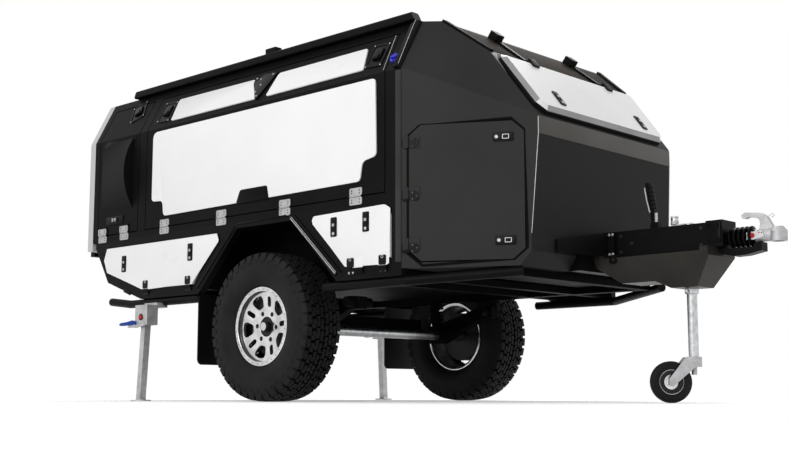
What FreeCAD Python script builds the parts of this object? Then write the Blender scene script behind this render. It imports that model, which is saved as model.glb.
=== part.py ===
"""Off-road camping trailer with a faceted nose, as a parametric assembly.

Frame: +X points forward along the drawbar, +Y to the trailer's left, +Z up.
The origin lies on the ground under the middle of the trailer's length.
All sizes are in millimetres and live in the spreadsheet "Sizes".
"""
import FreeCAD, Part
import os
import re
import Sketcher
from FreeCAD import Placement, Rotation, Vector

os.makedirs("parts", exist_ok=True)
doc = FreeCAD.newDocument("OffroadTrailer")

# Driving sizes: a plain number and what it measures.
SIZES = {
    "axle_x": (-418, "axle, behind the middle of the length"),
    "wheel_y": (803, "middle of a tyre, from the centre line"),
    "tyre_radius": (402.5, "tyre, to the tips of its lugs"),
    "tyre_width": (265, "tyre, over its side walls"),
    "bead_radius": (203, "bead seat of the rim"),
    "flange_radius": (214, "outer ring of the rim"),
    "rim_width": (203, "rim, over its flanges"),
    "rim_wall": (9, "barrel of the rim"),
    "disc_out": (56, "face of the rim round its bore, outward of the tyre's middle"),
    "disc_dish": (20, "spokes of the rim, their rise from the bore to the outer ring"),
    "disc_thick": (22, "spoked face of the rim"),
    "bore_radius": (54, "middle bore of the rim"),
    "cap_radius": (28, "grease cap of the hub"),
    "cap_out": (25, "grease cap, outward of the rim's face"),
    "hub_lip": (10, "end of the hub, inward of the rim's face"),
    "window_in": (105, "rim windows, inner radius"),
    "window_out": (173, "rim windows, outer radius"),
    "window_foot": (40, "wide rim window, across its inner end"),
    "window_width": (88, "wide rim window, across its outer part"),
    "slot_width": (28, "narrow rim window, across"),
    "window_turn": (41, "first wide rim window, up from straight ahead, degrees"),
    "drum_radius": (150, "brake drum"),
    "drum_width": (70, "brake drum"),
    "axle_radius": (30, "axle beam"),
    "half_width": (925, "flat side of the cabin, from the centre line"),
    "cabin_rear": (-2038, "rear end of the cabin's side walls"),
    "cabin_front": (642, "front end of the cabin, where the nose begins"),
    "cabin_base": (985, "underside of the cabin's side walls"),
    "kink_z": (1630, "height where the side starts to lean in"),
    "eave_z": (1900, "top face of the roof"),
    "eave_half": (787, "half width of the roof's top face"),
    "panel": (35, "sandwich panel of walls and roof"),
    "floor_thick": (30, "cabin floor"),
    "hatch_rear": (-1473, "main side hatch, rear edge"),
    "hatch_front": (527, "main side hatch, front edge"),
    "hatch_sill": (41, "side hatches, lower edge above the cabin's underside"),
    "hatch_top": (1845, "side hatches, upper edge"),
    "small_rear": (-1980, "small side hatch, rear edge"),
    "small_front": (-1558, "small side hatch, front edge"),
    "gap": (6, "running gap around doors and lids"),
    "skin": (7, "raised white skin on the hatches"),
    "skin_rear": (-1405, "white main skin, rear edge"),
    "skin_front": (465, "white main skin, front edge"),
    "skin_sill": (66, "white main skin, lower edge above its hatch's"),
    "skin_top": (1607, "white main skin, upper edge"),
    "skin_notch": (95, "corner of the white skin cut away at the lower hinges"),
    "window_rear": (-1262, "white upper skins, rear edge"),
    "window_front": (361, "white upper skins, front end of their lower edge"),
    "window_base": (1662, "white upper skins, lower edge"),
    "window_top": (1803, "white upper skins, upper edge"),
    "window_slant": (77, "white upper skins, slant beside the black bracket"),
    "window_split": (-435, "middle of the gap between the white upper skins"),
    "bracket_half": (44, "half width of that gap at its foot"),
    "bulge_depth": (70, "bulge of the small hatch, out of the side"),
    "bulge_chord": (440, "bulge of the small hatch, height"),
    "bulge_z": (1395, "middle of the bulge"),
    "bulge_front": (57, "front end of the bulge, behind its hatch's front edge"),
    "bulge_rear": (30, "rear end of the bulge, ahead of its hatch's rear edge"),
    "bulge_wall": (22, "shell of the bulge"),
    "bulge_room": (110, "half height of the hollow in the bulge"),
    "hinge_inset": (153, "outer hinges of the main hatch, inside its edges"),
    "hinge_width": (88, "hinge leaf along the side"),
    "hinge_leaf": (50, "hinge leaf, height of one half"),
    "hinge_thick": (5, "hinge leaf"),
    "knuckle": (7, "radius of a hinge knuckle"),
    "play": (0.3, "clearance where pieces turn or slide on each other"),
    "pin_out": (8, "hinge pin of a door or lid, outward of its wall"),
    "lid_hinge": (56, "hinge of a lid or door, along its pin"),
    "lid_leaf": (54, "moving hinge leaf of a lid or door, away from its pin"),
    "frame_depth": (45, "lower side frame, across the trailer"),
    "frame_base": (605, "underside of the lower side frame"),
    "frame_rear": (-1998, "rear end of the lower side frame"),
    "sill_drop": (35, "side frame's band over the wheel arch, height"),
    "kick_x": (-1853, "corner of the rising rear end"),
    "heel_x": (-1496, "where the rising rear end leaves the bottom rail"),
    "arch_foot": (567, "half width of the wheel arch at its foot"),
    "arch_head": (228, "half width of the wheel arch at its top"),
    "arch_shift": (43, "middle of the wheel arch ahead of the axle"),
    "locker_drop": (49, "locker lids, upper edge below the cabin's underside"),
    "locker_base": (664, "locker lids, lower edge"),
    "rear_lid_tail": (-1893, "rear locker lid, rearmost corner"),
    "rear_lid_shoulder": (-1863, "rear locker lid, upper rear corner"),
    "rear_lid_heel": (-1856, "rear locker lid, start of its lower slant"),
    "rear_lid_foot": (-1483, "rear locker lid, rear end of its lower edge"),
    "rear_lid_toe": (-993, "rear locker lid, front end of its lower edge"),
    "rear_lid_front": (-773, "rear locker lid, upper front corner"),
    "front_lid_rear": (18, "front locker lid, rear edge"),
    "front_lid_cut": (254, "front locker lid, end of its lower slant"),
    "front_lid_cut_z": (684, "height where that slant ends"),
    "front_lid_foot": (318, "front locker lid, rear end of its lower edge"),
    "front_lid_front": (570, "front locker lid, front edge"),
    "lid_corner": (24, "small corner cuts of the lids"),
    "lid_thick": (30, "locker lids and nose doors"),
    "box_wall": (12, "wall of the locker boxes"),
    "box_depth": (220, "locker boxes, across the trailer"),
    "side_tube_radius": (24, "lower side tubes"),
    "side_tube_rear": (-1835, "rear end of the rear side tube"),
    "side_tube_bend": (-1629, "bend of the rear side tube"),
    "side_tube_rise": (24, "rise of the rear side tube's end"),
    "side_tube_stop": (-946, "front end of the rear side tube"),
    "front_tube_rear": (86, "rear end of the front side tube"),
    "rail_y": (600, "middle of a chassis rail"),
    "rail_tip": (1057, "front end of the chassis rails, under the nose"),
    "rail_width": (60, "chassis rail"),
    "rail_height": (100, "chassis rail"),
    "cross_width": (50, "cross member, along the trailer"),
    "cross_height": (34, "cross member"),
    "member_rear": (-1060, "cross member behind the wheels"),
    "member_front": (230, "cross member ahead of the wheels"),
    "housing_wall": (4, "sheet of the wheel housings"),
    "housing_margin": (30, "wheel housing, beyond the foot of the wheel arch"),
    "tank_front": (60, "water tank under the floor, front end"),
    "tank_rear": (-900, "water tank under the floor, rear end"),
    "tank_half": (520, "water tank, half width"),
    "nose_base": (640, "underside of the nose"),
    "nose_wall": (28, "panels of the nose"),
    "lip_x": (1220, "front edge of the nose"),
    "lip_half": (594, "half width of the nose at its front edge"),
    "lip_z": (1359, "top of the upright front band"),
    "band_z": (1267, "bottom of the upright front band"),
    "chin_x": (1185, "lower edge of the leaning front panel"),
    "chin_z": (776, "height of that edge"),
    "throat_z": (710, "top of the lower corner cut"),
    "throat_x": (1137, "front end of the nose's underside"),
    "brow_x": (712, "front edge of the roof"),
    "brow_half": (705, "half width of the roof at that edge"),
    "hood_x": (946, "upper edge of the front hatch's facet"),
    "hood_z": (1717, "height of that edge"),
    "door_rear": (675, "nose door, hinge edge"),
    "door_front": (1160, "nose door, latch edge"),
    "door_base": (672, "nose door, lower edge"),
    "door_top": (1335, "nose door, upper edge"),
    "door_corner": (50, "nose door, corner cuts"),
    "cover_side": (30, "front hatch cover, inside the facet's side edges"),
    "cover_edge": (26, "front hatch cover, inside the facet's upper and lower edges"),
    "cover_bevel": (26, "front hatch cover, slant of its rim seen from the front"),
    "cover_thick": (34, "front hatch cover"),
    "arm_half": (332, "front hatch's hinge arms, from the centre line"),
    "rear_wall": (55, "rear wall"),
    "rear_drop": (47, "lower edge of the rear wall, below the cabin's underside"),
    "tail_half": (700, "tailgate, half width"),
    "tail_sill": (105, "tailgate, lower edge above the cabin's underside"),
    "tail_top": (1790, "tailgate, upper edge"),
    "tail_radius": (60, "tailgate, rounded corners"),
    "bumper_x": (-2158, "rearmost face of the bumper"),
    "bumper_thick": (40, "bumper bar, along the trailer"),
    "bumper_half": (860, "bumper bar, half width"),
    "bumper_drop": (70, "bumper bar, lower edge below the cabin's underside"),
    "bumper_height": (110, "bumper bar"),
    "rail_bar_rear": (-1775, "roof side rail, rear end"),
    "rail_bar_front": (636, "roof side rail, front end"),
    "rail_bar_width": (58, "roof side rail"),
    "rail_bar_height": (44, "roof side rail"),
    "rail_bar_y": (798, "roof side rail, middle"),
    "rail_foot": (-512, "small foot on the roof side rail, rear edge"),
    "rail_foot_length": (85, "that foot, along the trailer"),
    "rail_foot_height": (30, "that foot"),
    "beam_half": (60, "drawbar beam, half width"),
    "beam_base": (703, "drawbar beam, underside"),
    "beam_top": (840, "drawbar beam, top"),
    "beam_front": (1787, "drawbar beam, front end"),
    "cap_front": (1872, "front end of the beam's end housing"),
    "cap_base": (722, "end housing, underside"),
    "cap_margin": (6, "end housing, wider than the beam at each side"),
    "root_half": (430, "drawbar root, half width at the nose"),
    "root_front": (1257, "drawbar root, front end"),
    "root_end_top": (776, "drawbar root, top at its outer ends"),
    "root_base": (716, "drawbar root, underside"),
    "flange_length": (37, "drawbar flange, along the trailer"),
    "flange_margin": (22, "drawbar flange, wider than the beam at each side"),
    "foot_half": (250, "drawbar foot under the nose, half width"),
    "keel_half": (130, "keel box under the drawbar, half width at its top"),
    "keel_sole": (74, "keel box, half width at its sole"),
    "keel_low": (542, "keel box, lowest face"),
    "keel_mid": (578, "keel box, sole behind the jockey wheel"),
    "jockey_x": (1667, "jockey wheel's post"),
    "jockey_tube": (28, "jockey post, outer tube radius"),
    "jockey_inner": (24, "jockey post, inner tube radius"),
    "jockey_room": (14, "jockey wheel's tyre, clear of its post's axis"),
    "jockey_collar": (37, "collar of the jockey fork, radius"),
    "jockey_headroom": (20, "bottom of the jockey post, above its tyre"),
    "jockey_angle": (43, "jockey wheel as parked, turned from straight"),
    "jockey_radius": (98, "jockey wheel's tyre"),
    "jockey_width": (52, "jockey wheel's tyre"),
    "jockey_hub": (58, "jockey wheel's rim"),
    "ball_z": (752, "coupling, height of the ball's middle"),
    "ball_radius": (25, "coupling socket for a 50 mm ball"),
    "bellows_front": (2010, "front end of the bellows"),
    "bellows_radius": (48, "bellows, over its folds"),
    "head_tip": (2155, "front end of the coupling head"),
    "brake_x": (1482, "hand brake lever's pivot"),
    "leg_x": (-1341, "rear corner leg"),
    "leg_y": (990, "rear corner leg at its pivot"),
    "leg_pivot_z": (486, "rear corner leg's pivot"),
    "leg_half": (20, "rear corner leg, half width of its tube"),
    "leg_lean": (3, "rear corner leg leans out, degrees"),
    "leg_foot": (12, "rear corner leg's foot, height"),
    "foot_radius": (58, "rear corner leg's foot"),
    "head_half": (60, "leg head, half width along the trailer"),
    "head_wall": (10, "leg head, walls"),
    "head_low": (46, "leg head, below its pivot"),
    "leg_pin": (9, "leg head's pin, radius"),
    "flap_x": (-938, "mudflap"),
    "flap_in": (600, "mudflap, inner edge"),
    "flap_out": (925, "mudflap, outer edge"),
    "flap_base": (205, "mudflap, lower edge"),
    "flap_thick": (8, "mudflap"),
    "arm_pivot_x": (-20, "trailing arm's pivot"),
    "arm_pivot_z": (530, "trailing arm's pivot"),
    "arm_y": (560, "middle of the trailing arm"),
}

# Heights that follow from the cabin's underside and the frame, as formulas.
DERIVED = {
    "hatch_base": "cabin_base + hatch_sill",
    "skin_base": "cabin_base + hatch_sill + skin_sill",
    "arch_top": "cabin_base - sill_drop",
    "frame_kick": "cabin_base - sill_drop",
    "kick_z": "frame_base + 0.348 * (cabin_base - sill_drop - frame_base)",
    "locker_top": "cabin_base - locker_drop",
    "rear_lid_tail_z": "locker_base + 0.74 * (cabin_base - locker_drop - locker_base)",
    "rear_lid_heel_z": "locker_base + 0.45 * (cabin_base - locker_drop - locker_base)",
    "rear_base": "cabin_base - rear_drop",
    "tail_base": "cabin_base + tail_sill",
    "bumper_base": "cabin_base - bumper_drop",
}

sheet = doc.addObject("Spreadsheet::Sheet", "Sizes")
for row, (alias, (value, meaning)) in enumerate(SIZES.items(), start=1):
    sheet.set("A%d" % row, meaning)
    sheet.set("B%d" % row, str(value))
    sheet.setAlias("B%d" % row, alias)
doc.recompute()

NODES = []


def size(alias):
    """The number that the sheet holds under this alias."""
    return float(sheet.get(alias))


def sized(formula):
    """Write out the derived names of a formula and put the sheet's name before each alias."""

    def written(found):
        name = found.group()
        if name in DERIVED:
            return "(" + sized(DERIVED[name]) + ")"
        return "Sizes." + name if name in SIZES else name

    return re.sub(r"[a-z][a-z_]*", written, str(formula))


def bind(thing, prop, formula):
    thing.setExpression(prop, sized(formula))


def node(thing, label):
    """Keep a finished piece as a node of its own."""
    thing.Label = label
    NODES.append(thing)
    return thing


# Sketches and the features made from them

PLANES = {"X": "YZ_Plane", "Y": "XZ_Plane", "Z": "XY_Plane"}


def new_body(name):
    body = doc.addObject("PartDesign::Body", name)
    body.AllowCompound = True
    return body


def origin_part(body, role):
    return next(f for f in body.Origin.OriginFeatures if f.Role == role)


def sketch_across(body, axis, at):
    """A sketch in the plane across an axis, at a place along it."""
    sketch = body.newObject("Sketcher::SketchObject", body.Name + "_sketch")
    sketch.AttachmentSupport = [(origin_part(body, PLANES[axis]), "")]
    sketch.MapMode = "FlatFace"
    sign = "-" if axis == "Y" else ""
    bind(sketch, "AttachmentOffset.Base.z", "%s(%s)" % (sign, at))
    return sketch


def fix_point(sketch, line, end, x, y, start):
    """Tie one end of a line to its two coordinates, as formulas."""
    for kind, formula, value in (("DistanceX", x, start[0]), ("DistanceY", y, start[1])):
        index = sketch.addConstraint(Sketcher.Constraint(kind, -1, 1, line, end, value))
        sketch.setExpression("Constraints[%d]" % index, sized(formula))


def outline(sketch, points):
    """A closed outline of straight lines through points given as formulas."""
    first = sketch.GeometryCount
    count = len(points)
    guess = [Vector(100 + 10 * i, 7 * i * i, 0) for i in range(count)]
    for i in range(count):
        sketch.addGeometry(Part.LineSegment(guess[i], guess[(i + 1) % count]), False)
    for i in range(count):
        sketch.addConstraint(Sketcher.Constraint("Coincident", first + i, 2, first + (i + 1) % count, 1))
    for i, (x, y) in enumerate(points):
        fix_point(sketch, first + i, 1, x, y, guess[i])


def circle(sketch, x, y, radius):
    index = sketch.addGeometry(Part.Circle(Vector(50, 50, 0), Vector(0, 0, 1), 20), False)
    number = sketch.addConstraint(Sketcher.Constraint("Radius", index, 20))
    sketch.setExpression("Constraints[%d]" % number, sized(radius))
    fix_point(sketch, index, 3, x, y, (50, 50))


def rectangle(left, low, right, high):
    return [(left, low), (right, low), (right, high), (left, high)]


def prism(name, axis, start, length, *outlines, circles=()):
    """A body: outlines drawn across an axis, padded along it from start."""
    body = new_body(name)
    sketch = sketch_across(body, axis, start)
    for points in outlines:
        outline(sketch, points)
    for x, y, radius in circles:
        circle(sketch, x, y, radius)
    pad = body.newObject("PartDesign::Pad", name + "_pad")
    pad.Profile = sketch
    bind(pad, "Length", length)
    pad.Reversed = axis == "Y"
    return body


def round_edges(body, radius, axis):
    """Round the corners that run along an axis."""
    doc.recompute()
    base = body.Tip
    shape = base.Shape
    along = {"X": Vector(1, 0, 0), "Y": Vector(0, 1, 0), "Z": Vector(0, 0, 1)}[axis]
    names = []
    for number, edge in enumerate(shape.Edges, start=1):
        if len(edge.Vertexes) == 2 and edge.Curve.TypeId == "Part::GeomLine":
            way = (edge.Vertexes[1].Point - edge.Vertexes[0].Point).normalize()
            if abs(way.dot(along)) > 0.999:
                names.append("Edge%d" % number)
    fillet = body.newObject("PartDesign::Fillet", body.Name + "_round")
    fillet.Base = (base, names)
    bind(fillet, "Radius", radius)
    return body


def turned(name, profile):
    """A body turned about its own Y axis; the profile is radius, place along Y."""
    body = new_body(name)
    sketch = sketch_across(body, "Z", "0")
    outline(sketch, profile)
    turn = body.newObject("PartDesign::Revolution", name + "_turn")
    turn.Profile = sketch
    turn.ReferenceAxis = (sketch, ["V_Axis"])
    turn.Angle = 360
    return body


# Part primitives and their booleans

def place(thing, x="0", y="0", z="0"):
    for axis, formula in zip("xyz", (x, y, z)):
        bind(thing, "Placement.Base." + axis, formula)
    return thing


def box(name, x, y, z, length, width, height):
    """A box by its lowest corner and its three sizes, as formulas."""
    thing = doc.addObject("Part::Box", name)
    for prop, formula in (("Length", length), ("Width", width), ("Height", height)):
        bind(thing, prop, formula)
    return place(thing, x, y, z)


def rod(name, axis, radius, length, x, y, z):
    """A round bar along an axis, from its start point."""
    thing = doc.addObject("Part::Cylinder", name)
    turn = {"X": Rotation(Vector(0, 1, 0), 90), "Y": Rotation(Vector(1, 0, 0), -90), "Z": Rotation()}[axis]
    thing.Placement = Placement(Vector(), turn)
    bind(thing, "Radius", radius)
    bind(thing, "Height", length)
    return place(thing, x, y, z)


def fused(name, *things):
    thing = doc.addObject("Part::MultiFuse", name)
    thing.Shapes = list(things)
    return thing


def cut(name, base, *tools):
    thing = doc.addObject("Part::Cut", name)
    thing.Base = base
    thing.Tool = tools[0] if len(tools) == 1 else fused(name + "_tools", *tools)
    return thing


def common(name, one, other):
    thing = doc.addObject("Part::Common", name)
    thing.Base = one
    thing.Tool = other
    return thing


def mirrored(thing, name):
    """The same piece on the left side."""
    copy = doc.addObject("Part::Mirroring", name)
    copy.Source = thing
    copy.Normal = Vector(0, 1, 0)
    return copy


def together(name, *things):
    """Pieces that don't touch, as one node."""
    thing = doc.addObject("Part::Compound", name)
    thing.Links = list(things)
    return thing


def both_sides(thing, label):
    """A right-hand piece and its mirror image, as one node."""
    return node(together(label + "_pair", thing, mirrored(thing, label + "_left")), label)


def each_side(thing, label):
    """A right-hand piece and its mirror image, as two nodes."""
    node(thing, label + "_right")
    node(mirrored(thing, label + "_left_copy"), label + "_left")
    return thing


# Formulas that several pieces share
LEAN = "(half_width - eave_half) / (eave_z - kink_z)"
EAVE_IN = "panel * tan(atan(%s) / 2)" % LEAN
ARCH_X = "(axle_x + arch_shift)"


def side_at(height, inward="0"):
    """How far out the leaning side is at a height above the kink."""
    return "-(half_width - (%s - kink_z) * %s - (%s) / cos(atan(%s)))" % (height, LEAN, inward, LEAN)


def bent_section(base, top, outward, thick):
    """Section across the trailer of a bent side panel on the right side.

    Its outer face lies outward of the side's own face by a formula, its
    inner face lies inside that by its thickness.
    """
    slope = "cos(atan(%s))" % LEAN
    half = "tan(atan(%s) / 2)" % LEAN

    def face(shift):
        upright = "-(half_width + (%s))" % shift
        corner_z = "kink_z + (%s) * %s" % (shift, half)
        leaning = "-(half_width - (%s - kink_z) * %s + (%s) / %s)" % (top, LEAN, shift, slope)
        return [(upright, base), (upright, corner_z), (leaning, top)]

    outer = face(outward)
    inner = face("(%s) - (%s)" % (outward, thick))
    return outer + inner[::-1]


# Cabin walls, roof and floor

def cabin_side():
    section = bent_section("cabin_base", "(eave_z - panel)", "0", "panel")
    wall = prism("cabin_side_blank", "X", "cabin_rear", "cabin_front - cabin_rear", section)
    holes = prism(
        "cabin_side_holes", "Y", "-(half_width + 2 * panel)", "half_width - eave_half + 6 * panel",
        rectangle("hatch_rear - gap", "hatch_base - gap", "hatch_front + gap", "hatch_top + gap"),
        rectangle("small_rear - gap", "hatch_base - gap", "small_front + gap", "hatch_top + gap"))
    both_sides(cut("cabin_side", wall, holes), "cabin_sides")


def roof():
    low = side_at("(eave_z - panel)")
    top = side_at("eave_z")
    section = [(low, "eave_z - panel"), (top, "eave_z"), ("-(%s)" % top, "eave_z"),
               ("-(%s)" % low, "eave_z - panel")]
    node(prism("roof_blank", "X", "cabin_rear", "cabin_front - cabin_rear", section), "roof_panel")


def roof_rails():
    low, high = "-(rail_bar_y + rail_bar_width / 2)", "-(rail_bar_y - rail_bar_width / 2)"
    top = "eave_z + rail_bar_height"
    slant = "rail_bar_height / 2"
    rail = prism(
        "roof_rail_bar", "Y", low, "rail_bar_width",
        [("rail_bar_rear", "eave_z"), ("rail_bar_front", "eave_z"), ("rail_bar_front - " + slant, top),
         ("rail_bar_rear + " + slant, top)])
    round_edges(rail, "rail_bar_height / 4", "X")
    foot = prism("roof_rail_foot", "X", "rail_foot", "rail_foot_length",
                 rectangle(low + " + 2 * gap", top + " - gap", high, top + " + rail_foot_height"))
    both_sides(fused("roof_rail_fused", rail, foot), "roof_rails")


def cabin_floor():
    inner = "(half_width - frame_depth)"
    node(box("floor_board", "frame_rear", "-" + inner, "cabin_base - floor_thick",
             "cabin_front - frame_rear", "2 * " + inner, "floor_thick"), "cabin_floor")


def front_bulkhead():
    """The wall between the cabin and the nose."""
    low, kink, high = "-(half_width - panel)", "-(half_width - panel)", side_at("(eave_z - panel)", "panel")
    inner_kink = "kink_z - " + EAVE_IN
    right = [(low, "cabin_base"), (kink, inner_kink), (high, "eave_z - panel")]
    left = [("-(%s)" % y, z) for y, z in reversed(right)]
    node(prism("bulkhead_board", "X", "cabin_front - panel", "panel", right + left), "front_bulkhead")


def cabin_section(base, top):
    """The cabin's outer outline across the trailer."""
    right = [("-half_width", base), ("-half_width", "kink_z"), (side_at(top), top)]
    return right + [("-(%s)" % y, z) for y, z in reversed(right)]


def rear_wall():
    wall = prism("rear_wall_blank", "X", "cabin_rear - rear_wall", "rear_wall",
                 cabin_section("rear_base", "eave_z"))
    hole = prism("rear_wall_hole", "X", "cabin_rear - 2 * rear_wall", "3 * rear_wall",
                 rectangle("-(tail_half + gap)", "tail_base - gap", "tail_half + gap", "tail_top + gap"))
    round_edges(hole, "tail_radius", "X")
    pins, leaves = [], []
    for number, middle in enumerate(("-tail_half / 2", "0", "tail_half / 2")):
        z = "tail_top + knuckle + play"
        x = "cabin_rear - rear_wall - pin_out"
        y = middle + " - lid_hinge / 2"
        pins.append(rod("gate_pin_%d" % number, "Y", "knuckle", "lid_hinge", x, y, z))
        pins.append(box("gate_pin_foot_%d" % number, x, y, z, "pin_out", "lid_hinge", "3 * knuckle"))
        leaves.append(box("gate_leaf_%d" % number, x, y, "tail_top - lid_leaf", "pin_out", "lid_hinge",
                          "lid_leaf"))
    node(fused("rear_wall_fused", cut("rear_wall_cut", wall, hole), *pins), "rear_wall")
    gate = prism("tailgate_board", "X", "cabin_rear - rear_wall", "rear_wall - gap",
                 rectangle("-tail_half", "tail_base", "tail_half", "tail_top"))
    round_edges(gate, "tail_radius - gap", "X")
    node(fused("tailgate_fused", gate, *leaves), "tailgate")


def bumper():
    bar = box("bumper_bar", "bumper_x", "-bumper_half", "bumper_base", "bumper_thick", "2 * bumper_half",
              "bumper_height")
    arms = [
        box("bumper_arm_%s" % side, "bumper_x + bumper_thick", "%s * bumper_half * 0.6 - 40" % sign,
            "rear_base + 8",
            "cabin_rear - rear_wall - bumper_x - bumper_thick", "80", "50")
        for side, sign in (("right", "-1"), ("left", "1"))]
    node(fused("bumper_fused", bar, *arms), "rear_bumper")


# Side hatches

def main_hatch():
    section = bent_section("hatch_base", "hatch_top", "0", "panel")
    leaf = prism("main_hatch_leaf", "X", "hatch_rear", "hatch_front - hatch_rear", section)
    each_side(leaf, "main_hatch")

    layer = prism("hatch_skin_layer", "X", "hatch_rear", "hatch_front - hatch_rear",
                  bent_section("hatch_base", "hatch_top", "skin", "skin"))
    step = "1.2 * skin_notch"
    bracket_rear, bracket_front = "window_split - bracket_half", "window_split + bracket_half"
    shapes = prism(
        "hatch_skin_shapes", "Y", "-(half_width + 2 * panel)", "half_width - eave_half + 4 * panel",
        [("skin_rear", "skin_base + skin_notch"), ("skin_rear + " + step, "skin_base + skin_notch"),
         ("skin_rear + " + step, "skin_base"), ("skin_front - " + step, "skin_base"),
         ("skin_front - skin_notch", "skin_base + skin_notch"),
         ("skin_front", "skin_base + 1.2 * skin_notch"),
         ("skin_front", "skin_top"), ("skin_rear + lid_corner", "skin_top"),
         ("skin_rear", "skin_top - lid_corner")],
        [("window_rear", "window_top"), ("window_rear", "window_base"), (bracket_rear, "window_base"),
         (bracket_rear + " - window_slant", "window_top")],
        [(bracket_front + " + 0.43 * window_slant", "window_top"), (bracket_front, "window_base"),
         ("window_front", "window_base"), ("window_front - 0.4 * window_slant", "window_top")])
    leaves = [hinge_leaf("main_leaf_%d" % i, x) for i, x in enumerate(MAIN_HINGES)]
    each_side(together("hatch_skin_row", common("hatch_skin", layer, shapes), *leaves), "hatch_skins")


def bulge_ring(x, depth):
    """The bulge's outline across the trailer at a place along it: an arc on a flat base."""
    half = size("bulge_chord") / 2
    middle = size("bulge_z")
    face = -size("half_width")
    base = face + size("panel") / 2
    low, high = Vector(x, face, middle - half), Vector(x, face, middle + half)
    arc = Part.Arc(low, Vector(x, face - depth, middle), high).toShape()
    back = Part.makePolygon([high, Vector(x, base, high.z), Vector(x, base, low.z), low])
    return Part.Wire([arc] + back.Edges)


def small_hatch():
    """The small hatch with its bulge, which runs out flush towards the rear."""
    leaf = prism("small_hatch_leaf", "X", "small_rear", "small_front - small_rear",
                 bent_section("hatch_base", "hatch_top", "0", "panel"))
    front = size("small_front") - size("bulge_front")
    rear = size("small_rear") + size("bulge_rear")
    depth = size("bulge_depth")
    bulge = Part.makeLoft([bulge_ring(front, depth), bulge_ring(rear, depth * 0.05)], True, True)

    # The hollow behind the bulge, seen from above.
    wall, room = size("bulge_wall"), size("bulge_room")
    inside = -(size("half_width") - size("panel"))
    plan = [
        Vector(rear + wall, inside + 1, 0), Vector(front - wall, inside + 1, 0),
        Vector(front - wall, inside - depth + 4, 0), Vector(rear + wall, inside - 15, 0)]
    hollow = Part.Face(Part.makePolygon(plan + [plan[0]])).extrude(Vector(0, 0, 2 * room))
    hollow.translate(Vector(0, 0, size("bulge_z") - room))

    leaves = [hinge_leaf("small_leaf_%d" % i, x) for i, x in enumerate(SMALL_HINGES)]
    full = fused("small_hatch_full", leaf, feature("bulge_form", bulge), *leaves)
    each_side(cut("small_hatch_cut", full, feature("bulge_hollow", hollow)), "small_hatch")


HINGE_SPAN = "(hatch_front - hatch_rear - 2 * hinge_inset - hinge_width)"
MAIN_HINGES = ["hatch_rear + hinge_inset + %d / 3 * %s" % (i, HINGE_SPAN) for i in range(4)]
SMALL_HINGES = ["small_rear + 2 * gap", "small_front - 2 * hinge_width"]


def hinge_leaf(name, x):
    """The moving upper leaf of a side hinge, on the face of its hatch."""
    return box(name, x, "-(half_width + hinge_thick)", "hatch_base - gap + knuckle + play", "hinge_width",
               "hinge_thick",
               "hinge_leaf")


def side_hinges():
    """The fixed lower leaves of the side hinges, with their knuckles."""
    pieces = []
    for number, x in enumerate(MAIN_HINGES + SMALL_HINGES):
        leaf = box("hinge_leaf_%d" % number, x, "-(half_width + hinge_thick)",
                   "hatch_base - gap - hinge_leaf",
                   "hinge_width", "hinge_thick", "hinge_leaf")
        barrel = rod("hinge_barrel_%d" % number, "X", "knuckle", "hinge_width", x, "-(half_width + knuckle)",
                     "hatch_base - gap")
        pieces.append(fused("hinge_%d" % number, leaf, barrel))
    both_sides(together("side_hinge_row", *pieces), "side_hinges")


# Lower side frames with their lockers

REAR_LID = [
    ("rear_lid_tail", "rear_lid_tail_z", 1, 0), ("rear_lid_shoulder", "locker_top", 1, -1),
    ("rear_lid_front", "locker_top", -1, -1), ("rear_lid_toe", "locker_base", -1, 1),
    ("rear_lid_foot", "locker_base", 0, 1), ("rear_lid_heel", "rear_lid_heel_z", 1, 1)]
FRONT_LID = [
    ("front_lid_rear", "locker_top", 1, -1), ("front_lid_front - lid_corner", "locker_top", -1, -1),
    ("front_lid_front", "locker_top - lid_corner", -1, -1),
    ("front_lid_front", "locker_base + 1.5 * lid_corner", -1, 1),
    ("front_lid_foot", "locker_base", 0, 1), ("front_lid_cut", "front_lid_cut_z", 1, 1),
    ("front_lid_rear", "locker_top - lid_corner", 1, 1)]


REAR_LID_HINGES = ["rear_lid_foot + 10", "rear_lid_toe - 10 - lid_hinge"]
FRONT_LID_HINGES = ["front_lid_foot + 10", "front_lid_front - 20 - lid_hinge"]


def grown(lid, by):
    """The outline of a lid, each corner moved outward by a formula."""
    return [("%s - %d * (%s)" % (x, way_x, by), "%s - %d * (%s)" % (z, way_z, by)) for x, z, way_x,
            way_z in lid]


def side_frame():
    outside = [
        ("frame_rear", "cabin_base"), ("frame_rear", "frame_kick"), ("kick_x", "kick_z"),
        ("heel_x", "frame_base"),
        (ARCH_X + " - arch_foot", "frame_base"), (ARCH_X + " - arch_head", "arch_top"),
        (ARCH_X + " + arch_head", "arch_top"), (ARCH_X + " + arch_foot", "frame_base"),
        ("cabin_front", "frame_base"), ("cabin_front", "cabin_base")]
    frame = prism("side_frame_plate", "Y", "-half_width", "frame_depth", outside, grown(REAR_LID, "gap"),
                  grown(FRONT_LID, "gap"))
    pins = []
    for number, x in enumerate(REAR_LID_HINGES + FRONT_LID_HINGES):
        z = "locker_base - knuckle - play"
        pins.append(rod("lid_pin_%d" % number, "X", "knuckle", "lid_hinge", x, "-(half_width + pin_out)", z))
        pins.append(box("lid_pin_foot_%d" % number, x, "-(half_width + pin_out)", z + " - 3 * knuckle",
                        "lid_hinge",
                        "pin_out", "3 * knuckle"))
    both_sides(fused("side_frame_fused", frame, *pins), "side_frames")


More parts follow.
